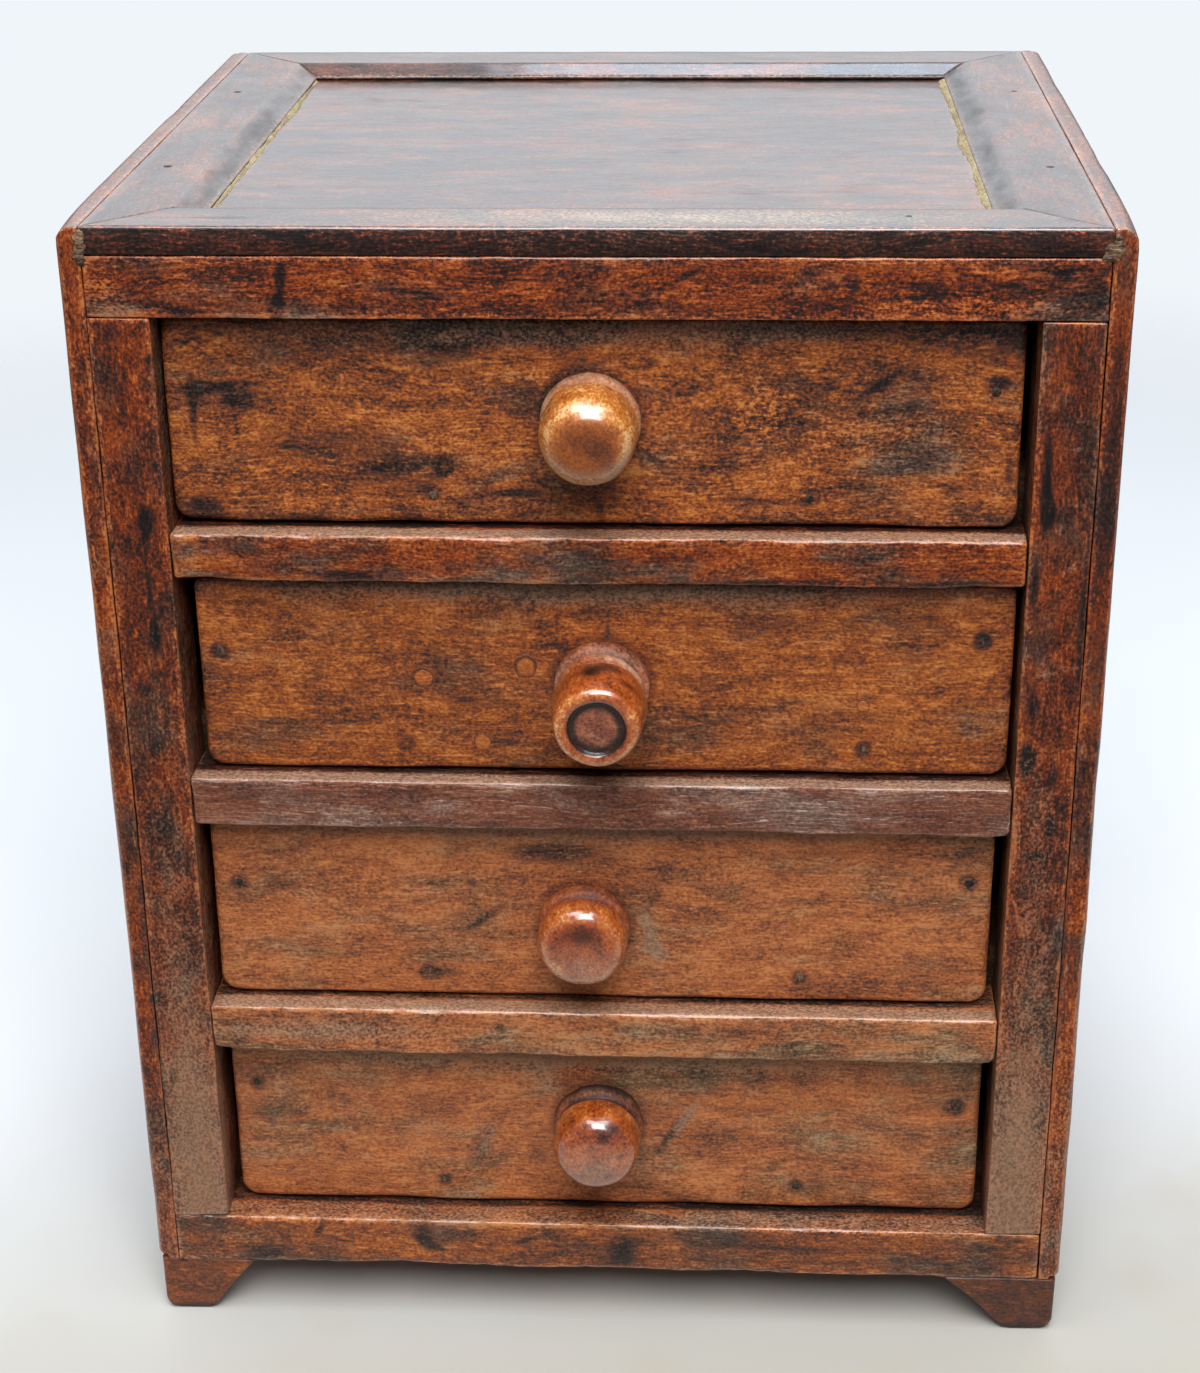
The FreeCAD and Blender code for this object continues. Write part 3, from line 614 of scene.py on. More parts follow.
def nail_group(node, body, nails, seed):
    """Hand-made nails, each (place of the head, direction it is driven in)."""
    rng = np.random.default_rng(seed)
    sides = 10
    section = ((0.05, 0.02), (0.7, 0.0), (1.2, 0.1), (1.5, 0.3), (1.45, 0.6), (0.95, 0.8), (0.7, 1.2),
               (0.4, 20.0))
    points, faces = [], []
    start = 0
    for spot, drive in nails:
        drive = np.array(drive, float)
        across = np.array([drive[2], drive[0], drive[1]])
        up = np.cross(drive, across)
        angles = np.linspace(0, 2 * math.pi, sides, endpoint=False) + rng.uniform(0, 1)
        uneven = 1 - 0.14 * rng.uniform(0, 1, sides)
        for radius, depth in section:
            ring = np.outer(np.cos(angles) * uneven, across) + np.outer(np.sin(angles) * uneven, up)
            points.append(np.array(spot) + ring * radius + drive * depth)
        faces += tube(len(section), sides, start)
        start += len(section) * sides
    make_piece(node, np.concatenate(points), faces, nail_iron, "iron_nails", body, [node])


# The wood of each board

FRONT_GRIT = 0.25
TOP_FINISH = dict(level=0.42, shine=0.5, coat_index=1.5, film=TOP_DUST, gritty=0.2)
INSIDE = dict(contrast=0.55, gloss=0.6)
top_rail_wood = old_wood("top_rail_wood", "X", RED, GREY, 11, level=0.44, share=0.12, vary=0.25, drawn=1.5,
                         blotch=0.6, lines=0.6)
stile_wood = old_wood("stile_wood", "Z", RED, GREY, 12, level=0.47, share=0.3, vary=0.3, contrast=0.75,
                      lines=0.3, relief=0.5, gritty=FRONT_GRIT)
side_wood = old_wood("side_wood", "Z", RED, GREY, 13, level=0.5, share=0.3, vary=0.3, contrast=0.8,
                     blotch=0.3, lines=0.5, gritty=FRONT_GRIT)
side_top_wood = old_wood("side_top_wood", "Y", BROWN, ORANGE, 18, coat=0.7, relief=0.15, **TOP_FINISH)
divider_wood = {
    1: old_wood("divider_1_wood", "X", RED, GREY, 14, level=0.62, share=0.22, vary=0.24, contrast=0.9,
                drawn=1.4),
    2: old_wood("divider_2_wood", "X", MAROON, HAZY, 15, level=0.64, share=0.18, vary=0.25, contrast=0.85,
                drawn=1.6, gloss=0.32, shine=0.5, relief=0.7),
    3: old_wood("divider_3_wood", "X", WARM, DUSKY, 16, level=0.7, share=0.36, vary=0.3, drawn=1.4),
}
bottom_rail_wood = old_wood("bottom_rail_wood", "X", ORANGE, GREY, 17, level=0.56, share=0.35, vary=0.3,
                            contrast=0.8, drawn=1.4)
front_wood = {
    1: old_wood("front_1_wood", "X", ORANGE, GREY, 21, level=0.56, share=0.2, vary=0.28, drawn=1.1,
                blotch=0.5, gritty=FRONT_GRIT),
    2: old_wood("front_2_wood", "X", ORANGE, GREY, 22, level=0.63, share=0.16, vary=0.35, contrast=0.85,
                drawn=1.3, gritty=FRONT_GRIT),
    3: old_wood("front_3_wood", "X", WARM, DUSKY, 23, level=0.72, share=0.2, vary=0.35, contrast=0.9,
                drawn=1.2, gritty=FRONT_GRIT),
    4: old_wood("front_4_wood", "X", WARM, DUSKY, 24, level=0.7, share=0.3, vary=0.3, contrast=0.85,
                drawn=1.2, gritty=FRONT_GRIT),
}
plug_wood = old_wood("plug_wood", "X", ORANGE, WARM, 27, level=0.72, share=0.3, contrast=0.5)
top_wood_x = old_wood("top_wood_x", "X", DARK, BROWN, 31, share=0.35, vary=0.3, contrast=0.9, drawn=1.4,
                      gloss=0.3, coat=1.0, relief=0.08, **TOP_FINISH)
top_wood_y = old_wood("top_wood_y", "Y", DARK, BROWN, 32, share=0.4, vary=0.3, drawn=1.4, gloss=0.3,
                      coat=0.85, relief=0.08, **TOP_FINISH)
lip_wood = old_wood("lip_wood", "X", RED, GREY, 34, level=0.1, share=0.3, contrast=0.8, drawn=1.5, rubbed=0.3)
foot_wood = old_wood("foot_wood", "X", ORANGE, GREY, 33, level=0.46, share=0.25, contrast=0.6)
filler_paste = old_wood("filler_paste", "X", GREY, RAW, 35, level=0.6, share=0.3, gloss=0.7, shine=0.2,
                        relief=1.0)
dust_cake = old_wood("dust_cake", "Y", KHAKI, HAZY, 36, level=0.8, share=0.3, contrast=0.6, gloss=0.8,
                     shine=0.1, relief=0.5)
knob_wood = {
    1: turned_wood("knob_1_wood", KNOB, 41, 0.74),
    2: turned_wood("knob_2_wood", RUSSET, 42, 0.51),
    3: turned_wood("knob_3_wood", RUSSET, 43, 0.53),
    4: turned_wood("knob_4_wood", RUSSET, 44, 0.48),
}
inner_wood = old_wood("inner_wood", "Y", RAW, HAZY, 51, level=0.55, drawn=2.5, **INSIDE)
inner_wood_x = old_wood("inner_wood_x", "X", RAW, HAZY, 52, level=0.55, drawn=2.5, **INSIDE)
runner_wood = old_wood("runner_wood", "Y", RAW, DARK, 55, level=0.2, drawn=2.5, **INSIDE)
back_wood = old_wood("back_wood", "Z", RAW, HAZY, 53, level=0.48, drawn=3.0, **INSIDE)
nail_iron = old_wood("nail_iron", "Z", IRON, RAW, 54, level=0.35, share=0.2, gloss=0.5, relief=0.2)


# Marks on each board, mostly of use and some of painted shade or painted light: soft oblong marks and, under
# ring, round ones, in millimetres

RAIL_MARKS = {
    "stain": [(-88, 296, 26, 6, 0, 0.2), (-101, 290, 7, 2.5, -10, 0.9), (-72.5, 296, 1.3, 6, -6, 1.1),
              (-74, 290, 1.3, 3, 0, 1.0),
              (-60, 300, 12, 2, 0, 0.5), (-42, 294.5, 15, 1.2, -6, 0.8), (0, 296, 3, 5, 0, 0.6),
              (21, 298, 9, 1.2, 27, 0.8), (60, 297, 3, 4, 0, 0.9), (76, 293.5, 13, 1.1, 4, 1.0),
              (97, 296, 14, 0.9, -8, 0.9), (108, 297.5, 9, 0.9, -4, 0.8), (30, 291, 30, 1.3, 2, 0.5)],
    "wear_and_light": [(-114, 294, 5, 6, 0, 0.75), (-106, 290, 8, 1.3, 0, 0.6), (-99, 297, 8, 0.8, 4, 0.8),
             (-88, 298.5, 4, 0.8, 5, 0.7), (103, 291, 12, 2, 0, 0.5), (80, 292, 26, 4, 0, 0.5),
             (-70, 288.2, 34, 0.8, 0, 0.7)],
}
STILE_MARKS = {
    "left_stile": {
        "stain": [(-109, 237, 2.2, 5, 0, 1.2), (-110, 222, 0.9, 14, 0, 0.9),
                  (-109.5, 206, 1.8, 4.5, 0, 1.1),
                  (-113.5, 192, 3.5, 3.5, 0, 0.8), (-112, 176, 2.5, 5, 0, 0.8),
                  (-105, 277.6, 1.5, 2, 0, 1.0),
                  (-105.5, 251, 1.5, 2, 0, 0.9), (-111, 156, 1, 10, 0, 0.9), (-114, 284, 4, 2, 0, 0.7),
                  (-118.6, 80, 0.6, 34, 0, 1.0), (-110, 120, 5, 3, 0, 0.5)],
        "wear_and_light": [(-108, 268, 3, 8, 0, 0.3), (-106, 186, 1.5, 6, 0, 0.4), (-111, 55, 5, 18, 0, 0.22)],
        "dust": [(-111, 40, 10, 60, 0, 1.0), (-111, 150, 10, 60, 0, 0.3)],
    },
    "right_stile": {
        "stain": [(107.3, 250, 1.4, 13, 0, 1.2), (108.5, 241, 1.8, 4, 0, 1.2), (105.7, 222, 1.2, 6, 0, 1.0),
                  (107.5, 190, 1.8, 6, 0, 1.0), (107, 176, 2.5, 5, 0, 1.0), (118, 215, 1.2, 30, 0, 1.0),
                  (113.5, 171, 2, 4, 0, 0.9), (114, 157, 2, 4, 0, 1.0), (112, 148.7, 4.5, 0.8, 0, 1.1),
                  (110.3, 148.7, 1.2, 1.2, 0, 1.5), (110.8, 105.7, 1.2, 1.2, 0, 1.4),
                  (113, 105.7, 5, 0.8, 0, 0.8)],
        "wear_and_light": [(105.2, 154, 1.2, 9, 0, 0.8), (110, 159, 4, 6, 0, 0.4), (110, 60, 5, 18, 0, 0.22)],
        "dust": [(111, 40, 10, 60, 0, 1.0), (111, 150, 10, 60, 0, 0.3),
                 (114.6, 264, 1.8, 0.7, 0, 0.6), (114, 257, 1.8, 0.7, 0, 0.6), (115, 243, 2.2, 0.7, 0, 0.5),
                 (114.5, 227, 1.6, 0.7, 0, 0.6), (116, 200.7, 2.2, 0.7, 0, 0.5),
                 (110, 199, 1.8, 0.7, 0, 0.6)],
    },
}
DIVIDER_MARKS = {
    1: {"stain": [(-60, 223, 10, 2, 0, 1.2), (42, 222, 26, 1.5, 1, 1.2), (0, 223, 12, 1.6, 0, 0.6),
                  (85, 222, 18, 1.3, 4, 1.0), (5, 227, 7, 2, 0, 0.6), (50, 228, 20, 0.9, -3, 0.6)],
        "wear_and_light": [(-9, 228.5, 6, 0.7, -35, 0.6), (-57, 228, 4, 0.6, 50, 0.5), (-20, 231, 70, 1.6, 0, 0.3),
                 (70, 230, 25, 2, 0, 0.3)],
        "dust": [(-95, 222.5, 9, 1.4, -12, 0.9)]},
    2: {"stain": [(-50, 164, 45, 1.2, 0, 0.4), (50, 155, 40, 1.0, 0, 0.5), (-80, 160, 10, 2, 20, 0.4),
                  (40, 160, 3, 3, 45, 0.5), (60, 161, 2, 4, 45, 0.5), (75, 160, 2, 4, 45, 0.4)],
        "wear_and_light": [(-20, 166, 60, 1.0, 0, 0.3), (10, 160, 6, 3, 40, 0.3)],
        "dust": [(-60, 158, 22, 3, 0, 0.3), (20, 156, 50, 1.2, 0, 0.3)]},
    3: {"stain": [(-97, 92, 6, 3, 0, 0.6), (-27, 95, 2, 2, 0, 1.0), (35, 93.5, 10, 1.4, 8, 0.8),
                  (96, 93, 4, 4, 0, 0.7), (-50, 98.4, 50, 0.8, 0, 0.5), (60, 90, 20, 1, 0, 0.4)],
        "wear_and_light": [(11, 93, 9, 1.2, 28, 0.5), (-68, 99.6, 34, 0.8, 0, 0.8), (-60, 92, 30, 4, 0, 0.5)],
        "dust": [(-70, 93, 30, 4, 0, 0.75), (-97, 92, 5, 3, 0, 0.4), (96, 93, 4, 4, 0, 0.4)]},
}
BOTTOM_RAIL_MARKS = {
    "stain": [(-79, 28, 1, 4, -30, 1.0), (-72, 24.5, 6, 0.9, -15, 1.0), (-66, 28, 1, 4, 20, 0.9),
              (-50, 26, 3, 6, 20, 0.9), (-46, 23, 6, 1, -25, 0.9), (5, 24, 6, 6, 0, 1.0),
              (-22, 26, 6, 1.2, 20, 0.9),
              (50, 25.5, 36, 1.2, -2, 0.8), (60, 21, 30, 1, 0, 0.6), (-30, 19, 40, 1, 0, 0.5)],
    "wear_and_light": [(-98, 25, 10, 5, 0, 0.4), (100, 24, 12, 4, 0, 0.3), (-20, 31, 60, 1, 0, 0.3)],
}
FRONT_MARKS = {
    # The stains at height 283 darken the front's top band: painted shade under the top rail, along with dirt
    1: {"stain": [(-82, 258, 24, 24, 0, 0.25), (60, 283, 45, 3.5, 0, 0.6), (-40, 283, 60, 3.5, 0, 0.5),
                  (-60, 278, 20, 4, 0, 0.4),
                  (-91, 269, 12, 1.2, 5, 1.0), (-97, 263, 1.0, 8, 0, 1.0), (-86, 266, 4, 2.5, 0, 1.0),
                  (-28, 262.5, 13, 0.7, 6, 0.7), (-20, 242.5, 10, 1.6, 0, 1.0), (-18, 237, 5, 1.2, 0, 0.8),
                  (-50, 249, 6, 1.2, 0, 0.8), (1, 239, 1.4, 3.5, 0, 1.0), (-96, 239, 6, 4, 0, 0.8),
                  (68, 270.5, 9, 1.8, 35, 0.9), (25.5, 248, 0.9, 4, 0, 0.7), (32, 252, 6, 0.9, 15, 0.7),
                  (40, 241, 14, 1.2, -3, 0.9), (99, 249, 1.2, 6, 0, 0.8), (96, 271, 4, 2, 0, 0.7)],
        "dust": [(0, 284, 100, 6, 0, 0.55)],
        "wear_and_light": [(62, 255, 42, 14, 0, 0.22), (-40, 252, 10, 8, 0, 0.35), (-62, 251, 11, 5, 0, 0.35),
                 (-17, 272, 6, 2, 0, 0.5),
                 (18, 252, 5, 1.6, 0, 0.6), (40, 265, 9, 9, 0, 0.3), (72, 258, 20, 6, 0, 0.3),
                 (38, 268, 0.6, 8, -14, 0.5), (43, 266, 0.6, 8, -14, 0.5)],
        "ring": [(-36.7, 249, 1.8, 0.8, 0.7)]},
    2: {"stain": [(0, 218, 90, 4.0, 0, 0.75), (-34, 187.5, 6, 1.4, 4, 0.8), (30, 191, 11, 1.3, 15, 0.8),
                  (-4, 211.5, 6, 0.9, 4, 0.8), (-10, 208, 0.9, 3.5, 0, 0.7), (2.5, 208, 0.9, 3, 0, 0.7),
                  (66, 206, 5, 3, 30, 0.5), (78, 201, 4, 3, -20, 0.5), (60, 200, 3, 2, 0, 0.5),
                  (82, 211, 2, 3, 0, 0.7)],
        "wear_and_light": [(17, 183, 6, 5, 0, 0.4), (-22, 190, 4, 1.5, 0, 0.5), (70, 204, 12, 6, 0, 0.3),
                 (-70, 195, 20, 4, 12, 0.25)],
        "dust": [(0, 219, 100, 6, 0, 0.8)],
        "ring": [(100, 193, 3, 1, 0.7), (-17.7, 213.8, 2.2, 0.8, 0.5)]},
    3: {"stain": [(-12, 144, 15, 3.5, 0, 0.9), (60, 145, 35, 2, 3, 0.5), (-31.5, 123.5, 9, 1.7, 36, 1.0),
                  (-34, 134, 2.5, 2.5, 0, 0.8), (-41, 107, 6, 2, 0, 0.9), (50, 115, 10, 2, -10, 0.4),
                  (-60, 148, 30, 2, 0, 0.3)],
        # The wear and dust right across the top, at heights 150 and 151, lighten the top band under the
        # divider above: painted light, partly dust
        "wear_and_light": [(0, 150, 100, 3, 0, 0.3), (-64, 130, 15, 9, 0, 0.35), (51, 127, 5, 1.6, 0, 0.5),
                 (-37, 138, 3, 1.6, 0, 0.6)],
        "dust": [(0, 151, 100, 4, 0, 0.8), (12.5, 121, 7, 1.8, -72, 1.3),
                 (-32, 124, 6, 1, 36, 0.5), (14, 115, 4, 1.8, -20, 1.2)]},
    4: {"stain": [(-33, 52, 3.5, 9, -18, 0.8), (-19, 49, 4, 6, 20, 0.7), (18, 56, 10, 2, 60, 0.9),
                  (24, 79, 2.5, 0.9, 0, 1.2), (-88, 40, 12, 2, 0, 0.6)],
        # The wear and dust right across the top, at heights 81 and 82, lighten the top band in the shade of
        # the divider above: painted light in the colours of wear and dust
        "wear_and_light": [(0, 81, 100, 6, 0, 0.9), (-15, 72, 3.5, 6, 0, 0.5), (-86, 65, 6, 3, 0, 0.35),
                 (28, 60, 6, 0.7, 58, 0.5)],
        "dust": [(0, 82, 100, 6, 0, 0.9), (-15, 72, 3.5, 6, 0, 0.5), (-33, 52, 3, 9, -18, 0.7),
                 (22, 61, 9, 1.8, 60, 0.9),
                 (-96, 47, 4, 6, 0, 0.4)]},
}
TOP_CRACKS = [(-88, -91, 28, 0.8, 1, 0.9), (109, -92, 4, 0.8, -35, 0.9)]
FRONT_MEMBER_MARKS = {
    "stain": TOP_CRACKS + [(60, -88, 20, 2, 2, 0.5)],
    "wear_and_light": [(-20, -97, 90, 1.2, 0, 0.5), (20, -84, 60, 4, 0, 0.3)],
    "dust": [(20, -90, 90, 9, 0, 0.62)],
}
TOP_MARKS = {
    "stain": TOP_CRACKS,
    "wear_and_light": [(-20, -97, 90, 1.2, 0, 0.4), (118, -60, 1.5, 30, 0, 0.4)],
}
PANEL_MARKS = {
    "stain": [(0, 94, 90, 1.6, 0, 1.2), (66, 92, 24, 2.6, 0, 0.8)],
    "wear_and_light": [(0, -58, 70, 10, 0, 0.25), (70, -25, 22, 14, 0, 0.25), (92, -50, 3, 20, 0, 0.6)],
    "dust": [(-93.4, 0, 0.8, 90, 0, 0.9), (93.2, 0, 1.2, 90, 0, 0.9), (0, -74, 90, 0.8, 0, 0.5)],
}


# Case

# Width of the painted shadow on a ledge in front of the foot of a drawer's front
SHADOW_WIDTH = 2.5


def ledge_dust_and_shadow(k):
    """Dust on a ledge below a drawer, and painted shadow along the foot of the drawer's front."""
    front_y = ends(f"drawer_{k}_front")[0][1]

    def soil_and_shade(points, normal):
        on_top = np.where(normal[:, 2] > 0.8, 1.0, 0.0)
        # Painted shadow, darkest where the ledge runs in under the front
        behind = np.clip((points[:, 1] - front_y) / SHADOW_WIDTH + 1, 0, 1)
        dusty = 0.5 if k == 4 else 0.95
        return {"dust": dusty * on_top * (1 - behind), "stain": 1.2 * on_top * behind ** 2}
    return soil_and_shade


def jamb_dust_and_shade(points, normal):
    """Dust on the sides of the drawer openings, and painted shade darkening them."""
    jamb = np.where(np.abs(normal[:, 0]) > 0.8, 1.0, 0.0)
    return {"stain": 0.3 * jamb, "dust": 0.35 * jamb}


def side_crest(hand, outside, front, top):
    """Rounds the outer top arris of a side board, most of all at its front corner."""
    def crest(points):
        radius = 2.6 + 2.8 * np.exp(-(points[:, 1] - front) / 12)
        a = np.clip(radius - hand * (outside - points[:, 0]), 0, None)
        b = np.clip(radius - (top - points[:, 2]), 0, None)
        shrink = np.minimum(1, radius / np.maximum(np.hypot(a, b), 1e-9))
        corner = (a > 0) & (b > 0)
        across = np.where(corner, outside - hand * (radius - a * shrink), points[:, 0])
        up = np.where(corner, top - (radius - b * shrink), points[:, 2])
        return np.stack([across, points[:, 1], up], -1)
    return crest


face_low, face_high = ends("front_bottom_rail")
stile_inner = ends("left_stile")[1][0]
rail_low, rail_high = ends("front_top_rail")
for hand, name in ((-1, "left_side"), (1, "right_side")):
    low, high = ends(name)
    side_marks = {"dust": [(hand * 118.5, 306, 1.6, 5, 0, 1.1), (hand * 122, 40, 4, 50, 0, 0.4)],
                  "stain": [(hand * 119.5, 120, 0.7, 70, 0, 0.9), (122, 250, 4, 60, 0, 0.8)],
                  "wear_and_light": [(122, 70, 4, 60, 0, 0.4), (-123, 250, 2, 60, 0, 0.4)]}
    board(name, low, high, side_wood, "case_wood", "case", 101 + hand, step=2.4, ease=0.5,
          outer=(0, hand, 2.3), marks=side_marks, crown=side_top_wood,
          crest=side_crest(hand, high[0] if hand > 0 else low[0], low[1], high[2]))
board("front_top_rail", rail_low, rail_high, top_rail_wood, "case_wood", "case", 110, step=1.1,
      ease=0.6, marks=RAIL_MARKS)
board("front_bottom_rail", face_low, face_high, bottom_rail_wood, "case_wood", "case", 111, step=1.1,
      ease=1.2, marks=BOTTOM_RAIL_MARKS, soil_and_shade=ledge_dust_and_shadow(4))
for hand, name in ((-1, "left_stile"), (1, "right_stile")):
    low, high = ends(name)
    low[2], high[2] = face_high[2], rail_low[2]
    board(name, low, high, stile_wood, "case_wood", "case", 115 + hand, step=1.1, ease=0.6,
          marks=STILE_MARKS[name], soil_and_shade=jamb_dust_and_shade)
for k in (1, 2, 3):
    name = f"divider_{k}"
    low, high = ends(name)
    low[0], high[0] = stile_inner, -stile_inner
    chips = [(-96, low[1], low[2], 9, 3.0)] if k == 1 else []
    board(name, low, high, divider_wood[k], "case_wood", "case", 120 + k, step=1.1, ease=1.2,
          chips=chips, marks=DIVIDER_MARKS[k], soil_and_shade=ledge_dust_and_shadow(k))

left, front, right, back = face_low[0], face_low[1], face_high[0], ends("back_panel")[1][1]
across, along = right - left, back - front
TOP_MEMBERS = (
    ("front", (left, front), (1, 0), (0, 1), across, 1.0, top_wood_x, 141, FRONT_MEMBER_MARKS, 0.3),
    ("right", (right, front), (0, 1), (-1, 0), along, 0.5, top_wood_y, 143, TOP_MARKS, 0.75),
    ("back", (right, back), (-1, 0), (0, -1), across, 1.0, top_wood_x, 145, TOP_MARKS, 0.3),
    ("left", (left, back), (0, -1), (1, 0), along, 0.5, top_wood_y, 147, TOP_MARKS, 0.75),
)
for side, start, run, inward, length, outer_round, crown, seed, marks, bevel_stain in TOP_MEMBERS:
    moulding(f"top_frame_{side}", start, run, inward, length, outer_round, lip_wood, crown, seed, marks,
             bevel_stain)
board("top_panel", *ends("top_panel"), top_wood_x, "top_wood", "case", 149, step=1.8, ease=0.3,
      dip=0.12, marks=PANEL_MARKS, plane=ABOVE)


def panel_dust(seed):
    """Caked dust in the corners between the panel and the frame's two side members."""
    frame_inner = ends("top_frame_right")[0][0]
    level = ends("top_panel")[1][2]
    from_end, step = 27, 1.2
    reach = np.arange(front + from_end, back - from_end, step)
    section = np.array([(-0.4, -0.3), (-0.4, 0.8), (0.1, 0.75), (0.4, 0.5), (0.75, 0.2), (1.0, -0.05),
                        (1.0, -0.3)])
    points, faces = [], []
    for hand in (-1, 1):
        line = np.stack([0 * reach + hand * 90, reach, 0 * reach], -1)
        width = (1.3 if hand > 0 else 0.9) * np.clip(1 + 0.4 * ripple(line, 30, seed + hand), 0.4, None)
        width *= 1 + 0.15 * ripple(line, 6, seed + 2 + hand)
        for y, wide in zip(reach, np.clip(width, 0.3, 2.5)):
            away, up = section.T
            x = hand * (frame_inner - away * np.where(away > 0, wide, 1))
            points.append(np.stack([x, y + 0 * away, level + up * np.clip(wide, 0.3, 1)], -1))
        faces += tube(len(reach), len(section), start=(0 if hand < 0 else len(reach) * len(section)))
    make_piece("panel_dust", np.concatenate(points), faces, dust_cake, "top_wood", "case", [])


def corner_filler(seed):
    """Crumbly filler over the joints at the two front corners of the top."""
    inner = ends("right_side")[0][0]
    joint = ends("top_frame_front")[0][2]
    rows, columns = 9, 30
    angles = np.linspace(0, 2 * math.pi, columns, endpoint=False)
    points, faces = [], []
    for hand in (-1, 1):
        outline = 1 + 0.3 * np.sin(2 * angles + hand)
        outline = outline + 0.16 * np.sin(5 * angles + 2) + 0.1 * np.sin(9 * angles)
        for share in np.sin(np.linspace(0.02, math.pi / 2, rows)):
            height = 0.55 * math.sqrt(1 - min(1, share) ** 2) - 0.25
            x = hand * inner + 2.0 * share * outline * np.cos(angles)
            z = joint + 1.8 + 3.6 * share * outline * np.sin(angles)
            rough = 0.12 * ripple(np.stack([x, 0 * x, z], -1), 1.6, seed + hand) * (1 - share)
            points.append(np.stack([x, front - height - rough, z], -1))
        faces += tube(rows, columns, start=(0 if hand < 0 else rows * columns))
    make_piece("corner_filler", np.concatenate(points), faces, filler_paste, "top_wood", "case", [])


panel_dust(71)
corner_filler(72)
for end_name, end in (("front", -1), ("back", 1)):
    for side_name, hand in (("left", -1), ("right", 1)):
        name = f"foot_{end_name}_{side_name}"
        foot(name, hand, end, foot_wood, 150 + 2 * end + hand)
for name, wood in (("back_panel", back_wood), ("bottom_board", inner_wood_x), ("kicker_left", inner_wood),
                   ("kicker_right", inner_wood)):
    board(name, *ends(name), wood, "inner_wood", "case", 160, step=5.0, ease=0.4)


# Drawers

# Reach of the dull collars, then the profiles of the knobs, as (radius, reach ahead of the front)
COLLAR_END = 5.0
COLLAR = [(12.2, 0.0), (12.2, 3.2), (11.5, 4.0), (10.6, 4.5)]
BEADED = [(11.1, 5.4), (11.3, 7.4), (11.0, 9.4), (10.4, 10.2), (11.4, 11), (11.8, 12.5), (11.7, 17),
          (11.2, 22), (10.6, 25), (9.9, 26.1), (8.5, 26.5), (7.3, 26.2), (6.8, 25.2), (0.05, 25.0)]


def head(widest, length, power):
    """Profile of a knob's head: widest just ahead of the neck, a round shoulder and a nearly flat face."""
    radius = 11.8
    behind = [(10.7, 5.0), (11.3, 5.8)]
    ahead = []
    for t in np.sin(np.linspace(0, math.pi / 2, 30)):
        ahead.append((max(0.05, radius * (1 - t ** power) ** (1 / power)), widest + t * (length - widest)))
    return behind + ahead


KNOB_PROFILES = {1: COLLAR + head(7.0, 21.0, 3.3), 2: COLLAR + BEADED, 3: COLLAR + head(6.5, 15.0, 3.6),
                 4: COLLAR + head(7.0, 18.5, 3.6)}
KNOB_MARKS = {
    # Knob 1: the stain on the collar is painted shade, the collar lying behind the head; the dark face is
    # partly the knob's own colour and partly a painted reflection of the dim room in front; the wear round
    # the shoulder is a painted reflection of the bright surroundings, and the dust on its lower part a
    # painted reflection of the floor
    1: [("dust", 2, 12.2, 3.0, 0.5), ("stain", 2, 12.2, 2.5, 0.5),
        ("stain", 4.8, 10.6, 0.9, 0.7), ("stain", 21, 0, 8.0, 0.72),
        ("wear_and_light", 18.4, 10, 2.0, 0.6), ("dust", 18, 10.2, 1.8, 0.9, -90, 80),
        ("dust", 18, 10.2, 2.0, 0.5, -35, 28)],
    2: [("dust", 2, 12.2, 2.6, 0.2), ("stain", 2, 12.2, 2.4, 0.3),
        ("dust", 6, 11.5, 3.5, 0.3), ("dust", 8, 11.3, 1.4, 0.6, 50, 35),
        ("stain", 4.6, 10.5, 0.9, 0.7), ("stain", 10.2, 10.4, 0.8, 0.8),
        ("stain", 17, 11.7, 3.0, 1.3, 98, 13), ("stain", 14.5, 11.7, 2.2, 0.9, 70, 18),
        ("stain", 19, 11.6, 1.5, 0.9, 45, 20), ("wear_and_light", 25.9, 9.7, 1.6, 0.55),
        ("dust", 26, 9.8, 1.2, 0.25, -60, 70), ("stain", 25.4, 6.5, 1.0, 2.2),
        ("stain", 25, 3, 4.5, 0.25), ("dust", 25, 3, 4, 0.25)],
    # Knob 3: the haze on the lower half of the face and the pale lower rim are painted reflections of the
    # floor
    3: [("dust", 2.4, 12.0, 2.6, 0.2), ("stain", 2.4, 12.0, 2.4, 0.4),
        ("stain", 4.8, 10.6, 0.9, 0.7),
        ("stain", 7.5, 11.8, 1.2, 0.4, 95, 40), ("stain", 14.8, 5.5, 3.5, 0.9, 90, 60),
        ("dust", 14.8, 4.5, 5, 0.35, -90, 75), ("dust", 13.6, 10, 1.3, 0.5, -90, 100),
        ("wear_and_light", 13.8, 9.8, 1.3, 0.3)],
    # Knob 4: the first stain is painted shadow on the top of the collar; the pale haze low on the face and on
    # the lower rim is a painted reflection of the floor
    4: [("stain", 0.5, 12.2, 1.5, 1.0, 90, 80), ("dust", 2.6, 12.0, 2.2, 0.25),
        ("stain", 2.6, 12.0, 2.4, 0.5),
        ("stain", 4.8, 10.6, 0.9, 0.8), ("stain", 16.8, 10.6, 2.0, 0.9, 62, 15),
        ("stain", 18.2, 7.5, 1.5, 0.7, 72, 14), ("dust", 18.4, 3.5, 5.5, 0.45, -90, 110),
        ("stain", 18.4, 4, 4, 0.4, -100, 60), ("dust", 17.4, 9.8, 1.3, 0.3, -90, 110)],
}
